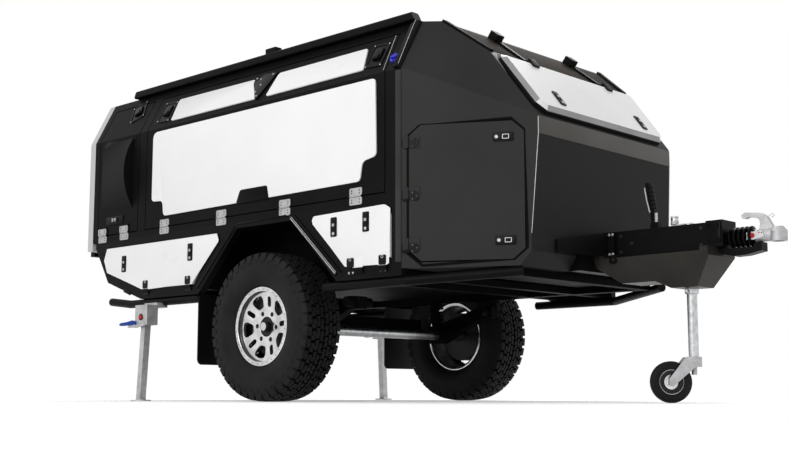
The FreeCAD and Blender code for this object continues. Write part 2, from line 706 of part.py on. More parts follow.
def lockers():
    boxes = []
    for name, lid, hinges in (("rear", REAR_LID, REAR_LID_HINGES), ("front", FRONT_LID, FRONT_LID_HINGES)):
        start = "-(half_width - frame_depth)"
        shell = prism(name + "_locker_shell", "Y", start, "box_depth", grown(lid, "gap + box_wall"))
        room = prism(name + "_locker_room", "Y", start, "box_depth - box_wall", grown(lid, "gap"))
        boxes.append(cut(name + "_locker", shell, room))
        board = prism(name + "_lid_board", "Y", "-half_width - skin", "lid_thick", grown(lid, "0"))
        leaves = [box("%s_lid_leaf_%d" % (name, number), x, "-(half_width + pin_out)", "locker_base",
                      "lid_hinge",
                      "pin_out - play", "lid_leaf") for number, x in enumerate(hinges)]
        each_side(fused(name + "_lid_fused", board, *leaves), name + "_locker_lid")
    both_sides(together("locker_box_row", *boxes), "locker_boxes")


def side_tubes():
    """Round tubes under the side frames, swept along bent paths."""
    radius = size("side_tube_radius")
    y = -(size("half_width") - radius)
    z = size("frame_base") - radius
    front_z = size("nose_base") - radius
    rear = [
        Vector(size("side_tube_rear"), y, z + size("side_tube_rise")), Vector(size("side_tube_bend"), y, z),
        Vector(size("side_tube_stop"), y, z)]
    reach = size("cabin_front") + radius / 2
    front = [
        Vector(size("front_tube_rear"), y, z), Vector(reach, y, z),
        Vector(size("throat_x"), -(nose_half(size("throat_x")) - radius), front_z)]
    tubes = []
    for points in (rear, front):
        path = Part.makePolygon(points)
        ring = Part.Wire(Part.makeCircle(radius, points[0], points[1] - points[0]))
        tubes.append(Part.Wire(path).makePipeShell([ring], True, True, 2))
    row = doc.addObject("Part::Feature", "side_tube_row")
    row.Shape = Part.makeCompound(tubes)
    both_sides(row, "side_tubes")


# Chassis

def chassis():
    rail = prism(
        "rail_plate", "Y", "-(rail_y + rail_width / 2)", "rail_width",
        [("frame_rear", "cabin_base - floor_thick"), ("frame_rear", "frame_kick - rail_width"),
         ("kick_x", "kick_z"),
         ("heel_x", "frame_base"), ("rail_tip", "frame_base"), ("rail_tip", "nose_base"),
         ("cabin_front", "nose_base"),
         ("cabin_front", "frame_base + rail_height"), ("heel_x", "frame_base + rail_height"),
         ("kick_x + rail_height", "kick_z + 0.9 * rail_height"),
         ("frame_rear + rail_width", "cabin_base - floor_thick")])
    inner = "(half_width - frame_depth)"
    places = ("heel_x", "member_rear", "member_front", "cabin_front - 2 * cross_width")
    posts = [
        box("post_%d" % number, x, "-(rail_y + rail_width / 2)", "frame_base + rail_height", "cross_width",
            "rail_width",
            "cabin_base - floor_thick - frame_base - rail_height") for number, x in enumerate(places)]
    side = fused("rail_fused", rail, *posts)
    other = mirrored(side, "rail_fused_left")
    node(together("rail_pair", side, other), "chassis_frame")

    members = [box("cross_member_%d" % number, x, "-" + inner, "frame_base", "cross_width", "2 * " + inner,
                   "cross_height") for number, x in enumerate(places)]
    members.append(box("rear_member", "frame_rear", "-" + inner, "cabin_base - floor_thick - cross_width",
                       "cross_width",
                       "2 * " + inner, "cross_width"))
    members.append(box("front_member", "rail_tip - cross_width", "-rail_y", "frame_base", "cross_width",
                       "2 * rail_y",
                       "nose_base - frame_base"))
    node(cut("cross_members_cut", fused("cross_members_fused", *members), side, other), "cross_members")
    node(box("tank_block", "tank_rear", "-tank_half", "frame_base + cross_height", "tank_front - tank_rear",
             "2 * tank_half",
             "cabin_base - floor_thick - frame_base - cross_height"), "water_tank")


def wheel_housings():
    """Sheets beside and over each road wheel, from the rail to the side frame."""
    reach = "(arch_foot + housing_margin)"
    head = "(arch_head + 2 * housing_margin)"
    rail_face = "(rail_y + rail_width / 2)"
    under_floor = "(cabin_base - floor_thick)"
    wall = box("housing_wall_sheet", "%s - %s" % (ARCH_X, reach), "-(%s + housing_wall)" % rail_face,
               "frame_base",
               "2 * " + reach, "housing_wall", under_floor + " - frame_base")
    cover = box("housing_cover_sheet", "%s - %s" % (ARCH_X, head), "-(half_width - frame_depth)",
                under_floor + " - housing_wall", "2 * " + head, "half_width - frame_depth - " + rail_face,
                "housing_wall")
    both_sides(fused("housing_fused", wall, cover), "wheel_housings")


# Nose

def nose_half(x):
    """Half width of the nose's upright side at a place along the trailer."""
    run = (x - size("cabin_front")) / (size("lip_x") - size("cabin_front"))
    return size("half_width") + run * (size("lip_half") - size("half_width"))


def corner(x, z, half=None):
    """A corner of the nose on the right side, named by its sizes."""
    along = size(x)
    out = nose_half(along) if half is None else half
    return Vector(along, -out, size(z))


def in_facet(x, z):
    """A corner that lies in the nose's leaning upper side facet."""
    a = corner("cabin_front", "kink_z")
    b = corner("lip_x", "lip_z")
    c = corner("brow_x", "eave_z", size("brow_half"))
    normal = (b - a).cross(c - a)
    along, height = size(x), size(z)
    y = a.y - (normal.x * (along - a.x) + normal.z * (height - a.z)) / normal.y
    return Vector(along, y, height)


def flip(point):
    return Vector(point.x, -point.y, point.z)


def inward_normal(points):
    """The normal of a face that looks towards the middle of the nose."""
    middle = Vector((size("cabin_front") + size("lip_x")) / 2, 0, (size("nose_base") + size("eave_z")) / 2)
    normal = (points[1] - points[0]).cross(points[2] - points[0]).normalize()
    return normal if normal.dot(middle - points[0]) > 0 else normal.negative()


def slab(points, thick, lift=0.0):
    """A flat plate: a face through the points, thickened inward."""
    normal = inward_normal(points)
    moved = [p - normal * lift for p in points]
    face = Part.Face(Part.makePolygon(moved + [moved[0]]))
    return face.extrude(normal * thick)


def nose_corners():
    return {
        "heel": corner("cabin_front", "nose_base"),
        "kink": corner("cabin_front", "kink_z"),
        "eave": in_facet("cabin_front", "eave_z"),
        "brow": corner("brow_x", "eave_z", size("brow_half")),
        "hood": in_facet("hood_x", "hood_z"),
        "lip": corner("lip_x", "lip_z"),
        "band": corner("lip_x", "band_z"),
        "chin": corner("chin_x", "chin_z"),
        "throat": corner("chin_x", "throat_z"),
        "toe": corner("throat_x", "nose_base"),
    }


def feature(name, shape):
    thing = doc.addObject("Part::Feature", name)
    thing.Shape = shape
    return thing


def door_outline(grow):
    """Corners of the nose door in its plate, grown by a gap."""
    rear, front = size("door_rear") - grow, size("door_front") + grow
    low, high = size("door_base") - grow, size("door_top") + grow
    cut_by = size("door_corner")
    flat = [
        (rear, low + cut_by), (rear, high - cut_by), (rear + cut_by, high), (front - cut_by, high),
        (front, high - cut_by), (front, low + cut_by), (front - cut_by, low), (rear + cut_by, low)]
    return [Vector(x, -nose_half(x), z) for x, z in flat]


def door_axis():
    """The nose door's hinge pin: a point on it, the way along the wall and the way out."""
    rear = size("door_rear")
    a, b = Vector(rear, -nose_half(rear), 0), Vector(rear + 100, -nose_half(rear + 100), 0)
    along = (b - a).normalize()
    out = Vector(along.y, -along.x, 0)
    return a - along * (size("knuckle") + size("play")) + out * size("pin_out"), along, out


def nose():
    p = nose_corners()
    wall = size("nose_wall")
    half, high = size("half_width"), size("eave_z")
    behind = Part.makeBox(half, 4 * half, 2 * high, Vector(size("cabin_front") - half, -2 * half, 0))
    side_low = slab([p[k] for k in ("heel", "kink", "lip", "band", "chin", "throat", "toe")],
                    wall).cut(behind)
    side_high = slab([p[k] for k in ("kink", "eave", "brow", "hood", "lip")], wall).cut(behind)
    door_hole = slab(door_outline(size("gap")), 3 * wall, wall)
    side = side_low.fuse(side_high).removeSplitter().cut(door_hole)
    axis, along, out = door_axis()
    turn = Rotation(along, out.negative(), Vector(0, 0, 1), "ZXY")
    door = slab(door_outline(0), size("lid_thick"), size("skin") / 2)
    inset = 1.5 * size("lid_hinge")
    for z in (size("door_base") + inset, (size("door_base") + size("door_top")) / 2,
              size("door_top") - inset):
        low = Vector(axis.x, axis.y, z - size("lid_hinge") / 2)
        pin = Part.makeCylinder(size("knuckle"), size("lid_hinge"), low)
        foot = Part.makeBox(3 * size("knuckle"), size("pin_out"), size("lid_hinge"))
        foot.Placement = Placement(low - along * (3 * size("knuckle")), turn)
        side = side.fuse([pin, foot])
        hinge = Part.makeBox(size("lid_leaf"), size("pin_out"), size("lid_hinge"))
        hinge.Placement = Placement(low + along * (size("knuckle") + size("play")), turn)
        door = door.fuse(hinge)
    both_sides(feature("nose_side", side.removeSplitter()), "nose_sides")
    sides = side_low.fuse(side_high)
    sides = sides.fuse(sides.mirror(Vector(), Vector(0, 1, 0)))

    def across(low, high):
        return [p[low], p[high], flip(p[high]), flip(p[low])]

    top = slab(across("eave", "brow"), wall).fuse(slab(across("brow", "hood"), wall)).cut(sides).cut(behind)
    node(feature("nose_top_plate", top.removeSplitter()), "nose_top")
    hood = slab(across("hood", "lip"), wall)
    hole = slab(cover_outline(-size("cover_bevel")), 3 * wall, wall)
    frame = hood.cut(sides).cut(top).cut(hole)
    node(feature("nose_hood_frame", frame), "front_hatch_frame")
    front = slab(across("lip", "band"), wall).fuse(slab(across("band", "chin"), wall))
    front = front.fuse(slab(across("chin", "throat"), wall)).fuse(slab(across("throat", "toe"), wall))
    foot_half = size("foot_half")
    notch_low = size("nose_base") - wall
    notch = Part.makeBox(foot_half, 2 * foot_half, size("root_base") - notch_low,
                         Vector(size("throat_x") - 3 * wall, -foot_half, notch_low))
    front = front.cut(sides).cut(hood).cut(notch)
    node(feature("nose_front_plate", front.removeSplitter()), "nose_front")
    floor = slab(across("heel", "toe"), wall).cut(sides).cut(front).cut(notch).cut(behind)
    node(feature("nose_floor_plate", floor), "nose_floor")
    each_side(feature("nose_door_board", door.removeSplitter()), "nose_door")


def cover_outline(grow):
    """Corners of the front hatch's cover on its facet."""
    p = nose_corners()
    up = (p["hood"] - p["lip"]).normalize()
    middle_up = Vector(p["hood"].x - p["lip"].x, 0, p["hood"].z - p["lip"].z).normalize()
    side, edge, cut_by = size("cover_side") - grow, size("cover_edge") - grow, size("door_corner")

    def on_facet(from_lip, from_side):
        """A point by its distance up from the lip and in from the side edge."""
        foot = p["lip"] + up * (from_lip / up.dot(middle_up))
        return foot + Vector(0, from_side, 0)

    reach = (p["hood"] - p["lip"]).dot(middle_up)
    right = [
        on_facet(edge, side + cut_by), on_facet(edge + cut_by, side),
        on_facet(reach - edge - cut_by / 2, side), on_facet(reach - edge, side + cut_by / 2)]
    return right + [flip(q) for q in reversed(right)]


def front_hatch():
    """The white cover of the front hatch, a plate with bevelled rims."""
    foot = cover_outline(0)
    crown = cover_outline(-size("cover_bevel"))
    outward = inward_normal(foot).negative()
    foot = [q + outward * 0.5 for q in foot]
    crown = [q + outward * size("cover_thick") for q in crown]
    wires = [Part.makePolygon(ring + [ring[0]]) for ring in (foot, crown)]
    cover = Part.makeLoft(wires, True, True)
    pin, run, normal = hatch_axis()
    for y in (-size("arm_half"), size("arm_half")):
        lug = Part.makeBox(70, size("lid_hinge"), size("knuckle") + size("pin_out") - 0.5)
        start = pin + Vector(0, y - size("lid_hinge") / 2, 0) + run * (size("knuckle") + size("play"))
        lug.Placement = Placement(start - normal * (size("pin_out") - 0.5),
                                  Rotation(run, Vector(0, 1, 0), normal, "ZXY"))
        cover = cover.fuse(lug)
    node(feature("front_hatch_cover", cover.removeSplitter()), "front_hatch")


def hatch_axis():
    """The front hatch's hinge pin: its middle, the way down the facet and the way out."""
    p = nose_corners()
    slope = p["lip"] - p["hood"]
    run = Vector(slope.x, 0, slope.z).normalize()
    normal = Vector(-run.z, 0, run.x)
    hood = Vector(p["hood"].x, 0, p["hood"].z)
    pin = hood + run * (size("cover_edge") - size("knuckle") - size("play")) + normal * size("pin_out")
    return pin, run, normal


def roof_brackets():
    """Two hinge blocks of the front hatch on the brow, with their arms."""
    p = nose_corners()
    slope = p["hood"] - p["brow"]
    run = Vector(slope.x, 0, slope.z).normalize()
    normal = Vector(-run.z, 0, run.x)
    pin, down, out = hatch_axis()
    on_facet = Rotation(down, Vector(0, 1, 0), out, "ZXY")
    width, knuckle = size("lid_hinge"), size("knuckle")
    inset = 3 * knuckle
    length = Vector(slope.x, 0, slope.z).Length - inset
    pieces = []
    for y in (-size("arm_half"), size("arm_half")):
        start = Vector(p["brow"].x, y, p["brow"].z)
        arm = Part.makeBox(length, width / 2, 2 * knuckle, Vector(0, -width / 4, 0))
        block = Part.makeBox(width, width, size("rail_bar_height"), Vector(0, -width / 2, 0))
        for shape in (arm, block):
            shape.Placement = Placement(start + run * inset, Rotation(run, Vector(0, 1, 0), normal, "ZXY"))
        barrel = Part.makeCylinder(knuckle, width, pin + Vector(0, y - width / 2, 0), Vector(0, 1, 0))
        shoe = Part.makeBox(size("cover_edge") + knuckle, width, size("pin_out"))
        shoe.Placement = Placement(Vector(p["hood"].x, y - width / 2, p["hood"].z), on_facet)
        trim = Part.makeBox(width, 2 * width, width)
        trim.Placement = Placement(pin + Vector(0, y - width, 0) - out * (width / 2), on_facet)
        pieces.append(arm.fuse([block, barrel, shoe.cut(trim)]).removeSplitter())
    node(feature("roof_bracket_row", Part.makeCompound(pieces)), "roof_brackets")


# Drawbar, coupling and jockey wheel

def drawbar():
    beam = box("beam_bar", "root_front", "-beam_half", "beam_base", "beam_front - root_front",
               "2 * beam_half",
               "beam_top - beam_base")
    cap = box("beam_cap", "beam_front", "-(beam_half + cap_margin)", "cap_base", "cap_front - beam_front",
              "2 * (beam_half + cap_margin)", "beam_top - cap_base + cap_margin")
    root = prism(
        "root_profile", "X", "chin_x", "root_front - chin_x",
        [("-root_half", "root_base"), ("-root_half", "root_end_top"), ("-beam_half - 15", "beam_top"),
         ("beam_half + 15", "beam_top"), ("root_half", "root_end_top"), ("root_half", "root_base")])
    plan = prism(
        "root_plan", "Z", "root_base - 10", "beam_top - root_base + 20",
        [("chin_x", "-root_half"), ("chin_x + 20", "-root_half"), ("root_front", "-beam_half - 15"),
         ("root_front", "beam_half + 15"), ("chin_x + 20", "root_half"), ("chin_x", "root_half")])
    gusset = common("root_gusset", root, plan)
    foot = box("root_foot", "throat_x + 1", "-(foot_half - 1)", "nose_base", "chin_x - throat_x + 20",
               "2 * (foot_half - 1)",
               "root_base - nose_base")
    flange = box("root_flange", "root_front", "-(beam_half + flange_margin)", "beam_base + flange_margin / 2",
                 "flange_length", "2 * (beam_half + flange_margin)",
                 "beam_top - beam_base - 0.6 * flange_margin")
    # The cradle under the bellows, seen from the side, with its end lug.
    top, low = "ball_z - 40", "ball_z - 62"
    cradle = prism(
        "bellows_cradle", "Y", "-beam_half / 2", "beam_half",
        [("cap_front - 36", "cap_base"), ("cap_front - 36", low), ("cap_front + 33", low + " - 16"),
         ("bellows_front - 45", low + " - 14"), ("bellows_front + 35", low),
         ("bellows_front + 35", "ball_z - 22"),
         ("bellows_front + 3", "ball_z - 22"), ("bellows_front + 3", top), ("cap_front", top),
         ("cap_front", "cap_base")])
    bore = rod("drawbar_bore", "Z", "jockey_tube", "beam_top - beam_base + 200", "jockey_x", "0",
               "beam_base - 100")
    behind = prism("behind_front_panel", "Y", "-root_half - 20", "2 * root_half + 40",
                   [("throat_x", "chin_z"), ("chin_x", "chin_z"), ("lip_x", "band_z"),
                    ("throat_x", "band_z")])
    whole = fused("drawbar_fused", beam, cap, gusset, foot, flange, cradle)
    node(cut("drawbar_cut", whole, bore, behind), "drawbar")


def keel():
    """The keel box, its side outline cut from its section across the trailer."""
    side = prism(
        "keel_side", "Y", "-keel_half", "2 * keel_half",
        [("chin_x + 22", "root_base"), ("chin_x + 22", "nose_base + 20"), ("root_front + 81", "keel_mid"),
         ("jockey_x - 143", "keel_mid"), ("jockey_x - 67", "keel_low"), ("jockey_x + 74", "keel_low"),
         ("beam_front + 44", "beam_base - 23"), ("beam_front + 40", "cap_base"), ("beam_front", "cap_base"),
         ("beam_front", "beam_base"), ("root_front", "beam_base"), ("root_front", "root_base")])
    section = prism(
        "keel_section", "X", "chin_x", "cap_front - chin_x",
        [("-keel_half", "cap_base + 5"), ("-keel_half", "beam_base - 6"), ("-keel_sole", "keel_low - 5"),
         ("keel_sole", "keel_low - 5"), ("keel_half", "beam_base - 6"), ("keel_half", "cap_base + 5")])
    bore = rod("keel_bore", "Z", "jockey_tube", "2 * (beam_base - keel_low)", "jockey_x", "0",
               "keel_low - 100")
    node(cut("keel_cut", common("keel_form", side, section), bore), "keel_box")


def coupling():
    profile = [("0", "0"), ("30", "0")]
    pitch = 24
    for i in range(5):
        low = 10 + pitch * i
        profile += [("32", str(low)), ("bellows_radius", str(low + 8)), ("bellows_radius", str(low + 14)),
                    ("32", str(low + 22))]
    profile += [("30", "bellows_front - cap_front"), ("0", "bellows_front - cap_front")]
    bellows = turned("bellows_body", profile)
    bellows.Placement = Placement(Vector(), Rotation(Vector(0, 0, 1), -90))
    place(bellows, "cap_front", "0", "ball_z + 10")
    node(bellows, "bellows")
    neck = rod("coupling_neck", "X", "30", "head_tip - bellows_front - 60", "bellows_front", "0",
               "ball_z + 10")
    ball_x = "head_tip - ball_radius - 14"
    shell = rod("coupling_cup", "Z", "ball_radius + 14", "46", ball_x, "0", "ball_z - 22")
    crown = doc.addObject("Part::Cone", "coupling_crown")
    for prop, formula in (("Radius1", "ball_radius + 14"), ("Radius2", "ball_radius - 2"), ("Height", "20")):
        bind(crown, prop, formula)
    place(crown, ball_x, "0", "ball_z + 24")
    socket = doc.addObject("Part::Sphere", "ball_socket")
    bind(socket, "Radius", "ball_radius + 0.5")
    place(socket, ball_x, "0", "ball_z")
    mouth = rod("ball_mouth", "Z", "ball_radius + 0.5", "60", ball_x, "0", "ball_z - 60")
    head = fused("coupling_full", neck, shell, crown)
    node(cut("coupling_cut", head, fused("ball_room", socket, mouth)), "coupling_head")

    # The handle's post and grip from the side: back from the head's tip, up from the ball.
    post = [(58, 25), (58, 40), (87, 91), (124, 81), (121, 60), (125, 47), (130, 30), (130, 25)]
    grip = [(87, 91), (98, 102), (119, 114), (195, 122), (214, 110), (210, 96), (192, 93),
            (177, 100), (138, 92), (124, 81)]
    parts = []
    for name, corners in (("handle_post", post), ("handle_grip", grip)):
        plate = prism(name, "Y", "-14", "28",
                      [("head_tip - %d" % back, "ball_z + %d" % up) for back, up in corners])
        parts.append(cut(name + "_cut", plate, head))
    node(together("coupling_handle_parts", *parts), "coupling_handle")


def hand_brake():
    base = box("brake_base", "brake_x - 22", "-14", "beam_top", "44", "28", "34")
    lever = prism(
        "brake_lever", "Y", "-12", "24",
        [("brake_x - 14", "beam_top + 20"), ("brake_x + 14", "beam_top + 20"),
         ("brake_x - 22", "beam_top + 232"),
         ("brake_x - 46", "beam_top + 235")])
    node(fused("brake_fused", base, lever), "hand_brake")


def jockey():
    collar = "keel_low - 26"
    outer = rod("jockey_outer", "Z", "jockey_tube - play", "beam_top + 8 - (%s)" % collar, "jockey_x", "0",
                collar)
    bore = rod("jockey_bore", "Z", "jockey_inner + play", "beam_top - (%s)" % collar, "jockey_x", "0", collar)
    crank = box("jockey_crank", "jockey_x - 98", "-9", "beam_top + 8", "116", "18", "6")
    knob = rod("jockey_knob", "Z", "18", "35", "jockey_x - 80", "0", "beam_top + 14")
    node(fused("jockey_sleeve_full", cut("jockey_sleeve_cut", outer, bore), crank, knob), "jockey_sleeve")

    post_low = "(2 * jockey_radius + jockey_headroom)"
    inner = rod("jockey_inner_tube", "Z", "jockey_inner", "keel_low + 60 - " + post_low, "jockey_x", "0",
                post_low)
    node(inner, "jockey_post")

    # The fork in its own frame: the hub at the origin, the post's axis forward.
    turn = Rotation(Vector(0, 0, 1), size("jockey_angle"))
    radius, half = size("jockey_radius"), size("jockey_width") / 2
    trail = radius + size("jockey_room")
    hub = Vector(size("jockey_x"), 0, radius) + turn.multVec(Vector(-trail, 0, 0))
    wheel_turn = Placement(hub, turn)
    collar, top = size("jockey_collar"), radius + size("jockey_headroom") - 0.5
    neck = top - 1.25 * collar
    cheek = Part.makePolygon([
        Vector(-16, 0, -14), Vector(4, 0, -20), Vector(trail, 0, neck), Vector(trail, 0, top),
        Vector(trail - 1.2 * collar, 0, top), Vector(-14, 0, 16), Vector(-16, 0, -14)])
    plate = Part.Face(cheek).extrude(Vector(0, collar - half - 6, 0))
    cheeks = []
    for y in (-collar, half + 6):
        side = plate.copy()
        side.translate(Vector(0, y, 0))
        cheeks.append(side)
    ring = Part.makeCylinder(collar, top - neck, Vector(trail, 0, neck))
    nut = Part.makeCylinder(13, collar, Vector(trail, 0, neck - collar))
    axle = Part.makeCylinder(7, 2 * collar, Vector(0, -collar, 0), Vector(0, 1, 0))
    fork = cheeks[0].fuse([cheeks[1], ring, nut, axle]).removeSplitter()
    fork.Placement = wheel_turn
    node(feature("jockey_fork_form", fork), "jockey_fork")

    rim = turned("jockey_rim_body", [
        ("7.3", "-jockey_width / 2 + 2"), ("24", "-jockey_width / 2 + 2"), ("24", "-8"),
        ("jockey_hub - 8", "-8"),
        ("jockey_hub - 8", "-jockey_width / 2 + 8"), ("jockey_hub", "-jockey_width / 2 + 8"),
        ("jockey_hub", "jockey_width / 2 - 8"), ("jockey_hub - 8", "jockey_width / 2 - 8"),
        ("jockey_hub - 8", "8"),
        ("24", "8"), ("24", "jockey_width / 2 - 2"), ("7.3", "jockey_width / 2 - 2")])
    rim.Placement = wheel_turn
    node(rim, "jockey_rim")
    tyre = turned("jockey_tyre_body", [
        ("jockey_hub", "-jockey_width / 2 + 4"), ("jockey_radius - 16", "-jockey_width / 2"),
        ("jockey_radius - 4", "-jockey_width / 2 + 8"), ("jockey_radius", "-jockey_width / 2 + 16"),
        ("jockey_radius", "jockey_width / 2 - 16"), ("jockey_radius - 4", "jockey_width / 2 - 8"),
        ("jockey_radius - 16", "jockey_width / 2"), ("jockey_hub", "jockey_width / 2 - 4")])
    tyre.Placement = wheel_turn
    node(tyre, "jockey_tyre")


# Wheels and suspension

def road_wheels():
    half = "rim_width / 2"
    ring_out, ring_in = "-disc_out - disc_dish", "-disc_out - disc_dish + disc_thick"
    well = "bead_radius - rim_wall"
    # Outward is -Y on the right-hand wheel.
    rim = turned("rim_body", [
        ("bore_radius", "-disc_out"), ("window_in - 6", "-disc_out"), ("window_out + 6", ring_out),
        (well, ring_out),
        (well, "-%s + 6" % half), ("flange_radius - 6", "-%s" % half), ("flange_radius", "-%s" % half),
        ("flange_radius", "-%s + 8" % half), ("bead_radius", "-%s + 14" % half),
        ("bead_radius", "%s - 14" % half), ("flange_radius", "%s - 8" % half),
        ("flange_radius", "%s" % half), ("flange_radius - 6", "%s" % half), (well, "%s - 6" % half),
        (well, ring_in), ("window_out + 6", ring_in), ("window_in - 6", "-disc_out + disc_thick"),
        ("bore_radius", "-disc_out + disc_thick")])
    # Five wide windows with a narrow one midway between each two.
    wide_side = [("window_in", "window_foot / 2"), ("window_out - 32", "window_width / 2"),
                 ("window_out - 12", "window_width / 2 - 4"), ("window_out", "window_width / 2 - 18")]
    slot_side = [("window_in", "slot_width / 2 - 5"), ("window_in + 8", "slot_width / 2"),
                 ("window_out - 16", "slot_width / 2"), ("window_out - 8", "slot_width / 2 - 5")]
    turn = size("window_turn")
    windows = []
    for name, side, first in (("rim_window", wide_side, turn), ("rim_slot", slot_side, turn - 36)):
        body = new_body(name)
        sketch = sketch_across(body, "Y", "-disc_out - 60")
        outline(sketch, side + [(along, "-(%s)" % across) for along, across in reversed(side)])
        pad = body.newObject("PartDesign::Pad", name + "_pad")
        pad.Profile = sketch
        pad.Length = 140
        pad.Reversed = True
        for i in range(5):
            copy = doc.addObject("Part::Feature", "%s_%d" % (name, i))
            windows.append((copy, body, first + 72 * i))
    doc.recompute()
    for copy, body, angle in windows:
        shape = body.Shape.copy()
        shape.rotate(Vector(), Vector(0, 1, 0), -angle)
        copy.Shape = shape
    rim_cut = cut("rim_cut", rim, *[w[0] for w in windows])
    place(rim_cut, "axle_x", "-wheel_y", "tyre_radius")
    each_side(rim_cut, "rim")

    tyre_half = "tyre_width / 2"
    tyre = turned("tyre_body", [
        ("bead_radius + 0.3", "-%s + 14" % half), ("flange_radius + 2", "-%s + 8" % half),
        ("flange_radius + 4", "-%s" % half), ("tyre_radius - 110", "-%s" % tyre_half),
        ("tyre_radius - 40", "-%s + 2" % tyre_half), ("tyre_radius - 12", "-%s + 14" % tyre_half),
        ("tyre_radius", "-%s + 32" % tyre_half), ("tyre_radius", "%s - 32" % tyre_half),
        ("tyre_radius - 12", "%s - 14" % tyre_half), ("tyre_radius - 40", "%s - 2" % tyre_half),
        ("tyre_radius - 110", "%s" % tyre_half), ("flange_radius + 4", "%s" % half),
        ("flange_radius + 2", "%s - 8" % half), ("bead_radius + 0.3", "%s - 14" % half)])
    place(tyre, "axle_x", "-wheel_y", "tyre_radius")
    each_side(tyre, "tyre")

    bore = "bore_radius - play"
    lip, back = "-disc_out + hub_lip", "-disc_out + disc_thick + play"
    hub = turned("hub_body", [
        ("0", "-disc_out - cap_out"), ("cap_radius - 2", "-disc_out - cap_out"),
        ("cap_radius", "-disc_out - cap_out + 5"),
        ("cap_radius", lip), (bore, lip), (bore, back), ("drum_radius", back),
        ("drum_radius", "-disc_out + disc_thick + drum_width"), ("0", "-disc_out + disc_thick + drum_width")])
    place(hub, "axle_x", "-wheel_y", "tyre_radius")
    each_side(hub, "wheel_hub")


def suspension():
    """An axle beam on two trailing arms, with their dampers."""
    inner_face = "(wheel_y + disc_out - disc_thick - drum_width - play)"
    beam = rod("axle_bar", "Y", "axle_radius", "2 * " + inner_face, "axle_x", "-" + inner_face, "tyre_radius")
    node(beam, "axle_beam")
    seat = "(tyre_radius + 2 * axle_radius)"
    arm = prism(
        "arm_plate", "Y", "-(arm_y + axle_radius)", "2 * axle_radius",
        [("arm_pivot_x - 40", "arm_pivot_z - 36"), ("arm_pivot_x + 40", "arm_pivot_z - 36"),
         ("arm_pivot_x + 40", "arm_pivot_z + 30"), ("arm_pivot_x - 40", "arm_pivot_z + 36"),
         ("axle_x", seat), ("axle_x - 70", seat), ("axle_x - 70", "tyre_radius - 50"),
         ("axle_x + 40", "tyre_radius - 50")])
    pivot = rod("arm_pivot", "Y", "28", "rail_width + 120", "arm_pivot_x",
                "-(rail_y + rail_width / 2 + 20)", "arm_pivot_z")
    both_sides(cut("arm_cut", fused("arm_fused", arm, pivot), beam), "trailing_arms")
    stroke = "(frame_base - %s)" % seat
    tube = rod("damper_tube", "Z", "26", "0.6 * " + stroke, "axle_x - 30", "-arm_y", seat)
    shaft = rod("damper_shaft", "Z", "12", stroke, "axle_x - 30", "-arm_y", seat)
    both_sides(fused("damper_fused", tube, shaft), "dampers")


def mudflaps():
    flap = prism("flap_board", "X", "flap_x", "flap_thick",
                 rectangle("-flap_out", "flap_base", "-flap_in", "frame_base"))
    round_edges(flap, "4 * flap_thick", "X")
    both_sides(flap, "mudflaps")


def corner_legs():
    """Swing-down legs at the rear corners, each in an open-backed head."""
    pivot = Vector(size("leg_x"), -size("leg_y"), size("leg_pivot_z"))
    half, foot_top, play = size("leg_half"), size("leg_foot"), size("play")
    lean = Rotation(Vector(1, 0, 0), -size("leg_lean"))
    down = lean.multVec(Vector(0, 0, -1))
    reach = (pivot.z - foot_top) / -down.z
    foot = pivot + down * reach
    over_pivot = half / 2
    tube = Part.makeBox(2 * half, 2 * half, reach + over_pivot + half / 2,
                        Vector(-half, -half, -reach - half / 2))
    tube.Placement = Placement(pivot, lean)
    ground = Vector(foot.x, foot.y, 0)
    sole = Part.makeCylinder(size("foot_radius"), 0.7 * foot_top, ground)
    ankle = Part.makeCone(1.7 * half, 0.9 * half, foot_top, ground + Vector(0, 0, 0.7 * foot_top))
    pin_radius = size("leg_pin")
    hole = Part.makeCylinder(pin_radius + play, 6 * half, pivot + Vector(0, 3 * half, 0), Vector(0, -1, 0))
    leg = tube.fuse([sole, ankle]).removeSplitter().cut(hole)
    each_side(feature("leg_form", leg), "corner_leg")

    wall, reach_x = size("head_wall"), size("head_half")
    tube_radius = size("side_tube_radius")
    tube_y, tube_z = -(size("half_width") - tube_radius), size("frame_base") - tube_radius
    inner, outer = pivot.y + half + 6, pivot.y - half - 9 - wall
    low, top = pivot.z - size("head_low"), tube_z - tube_radius
    length = 2 * reach_x
    rear = pivot.x - reach_x
    sheets = [
        Part.makeBox(length, wall, top - low, Vector(rear, inner, low)),
        Part.makeBox(length, wall, top - low, Vector(rear, outer, low)),
        Part.makeBox(wall, inner + wall - outer, top - low, Vector(pivot.x + reach_x - wall, outer, low)),
        Part.makeBox(length, inner + wall - outer, 1.2 * wall, Vector(rear, outer, top - 1.2 * wall)),
        Part.makeBox(length, tube_y + 1.4 * wall - inner, 2.7 * wall, Vector(rear, inner, top - 1.2 * wall)),
        Part.makeCylinder(pin_radius, inner + wall - outer, Vector(pivot.x, inner + wall, pivot.z),
                          Vector(0, -1, 0))]
    head = sheets[0].fuse(sheets[1:]).removeSplitter()
    side_tube = Part.makeCylinder(tube_radius, length, Vector(rear, tube_y, tube_z), Vector(1, 0, 0))
    both_sides(feature("leg_head_form", head.cut(side_tube)), "leg_heads")


# Build, test and write

cabin_side()
roof()
roof_rails()
cabin_floor()
front_bulkhead()
rear_wall()
bumper()
main_hatch()
small_hatch()
side_hinges()
side_frame()
lockers()
side_tubes()
chassis()
wheel_housings()
nose()
front_hatch()
roof_brackets()
drawbar()
keel()
coupling()
hand_brake()
jockey()
road_wheels()
suspension()
mudflaps()
corner_legs()
doc.recompute()

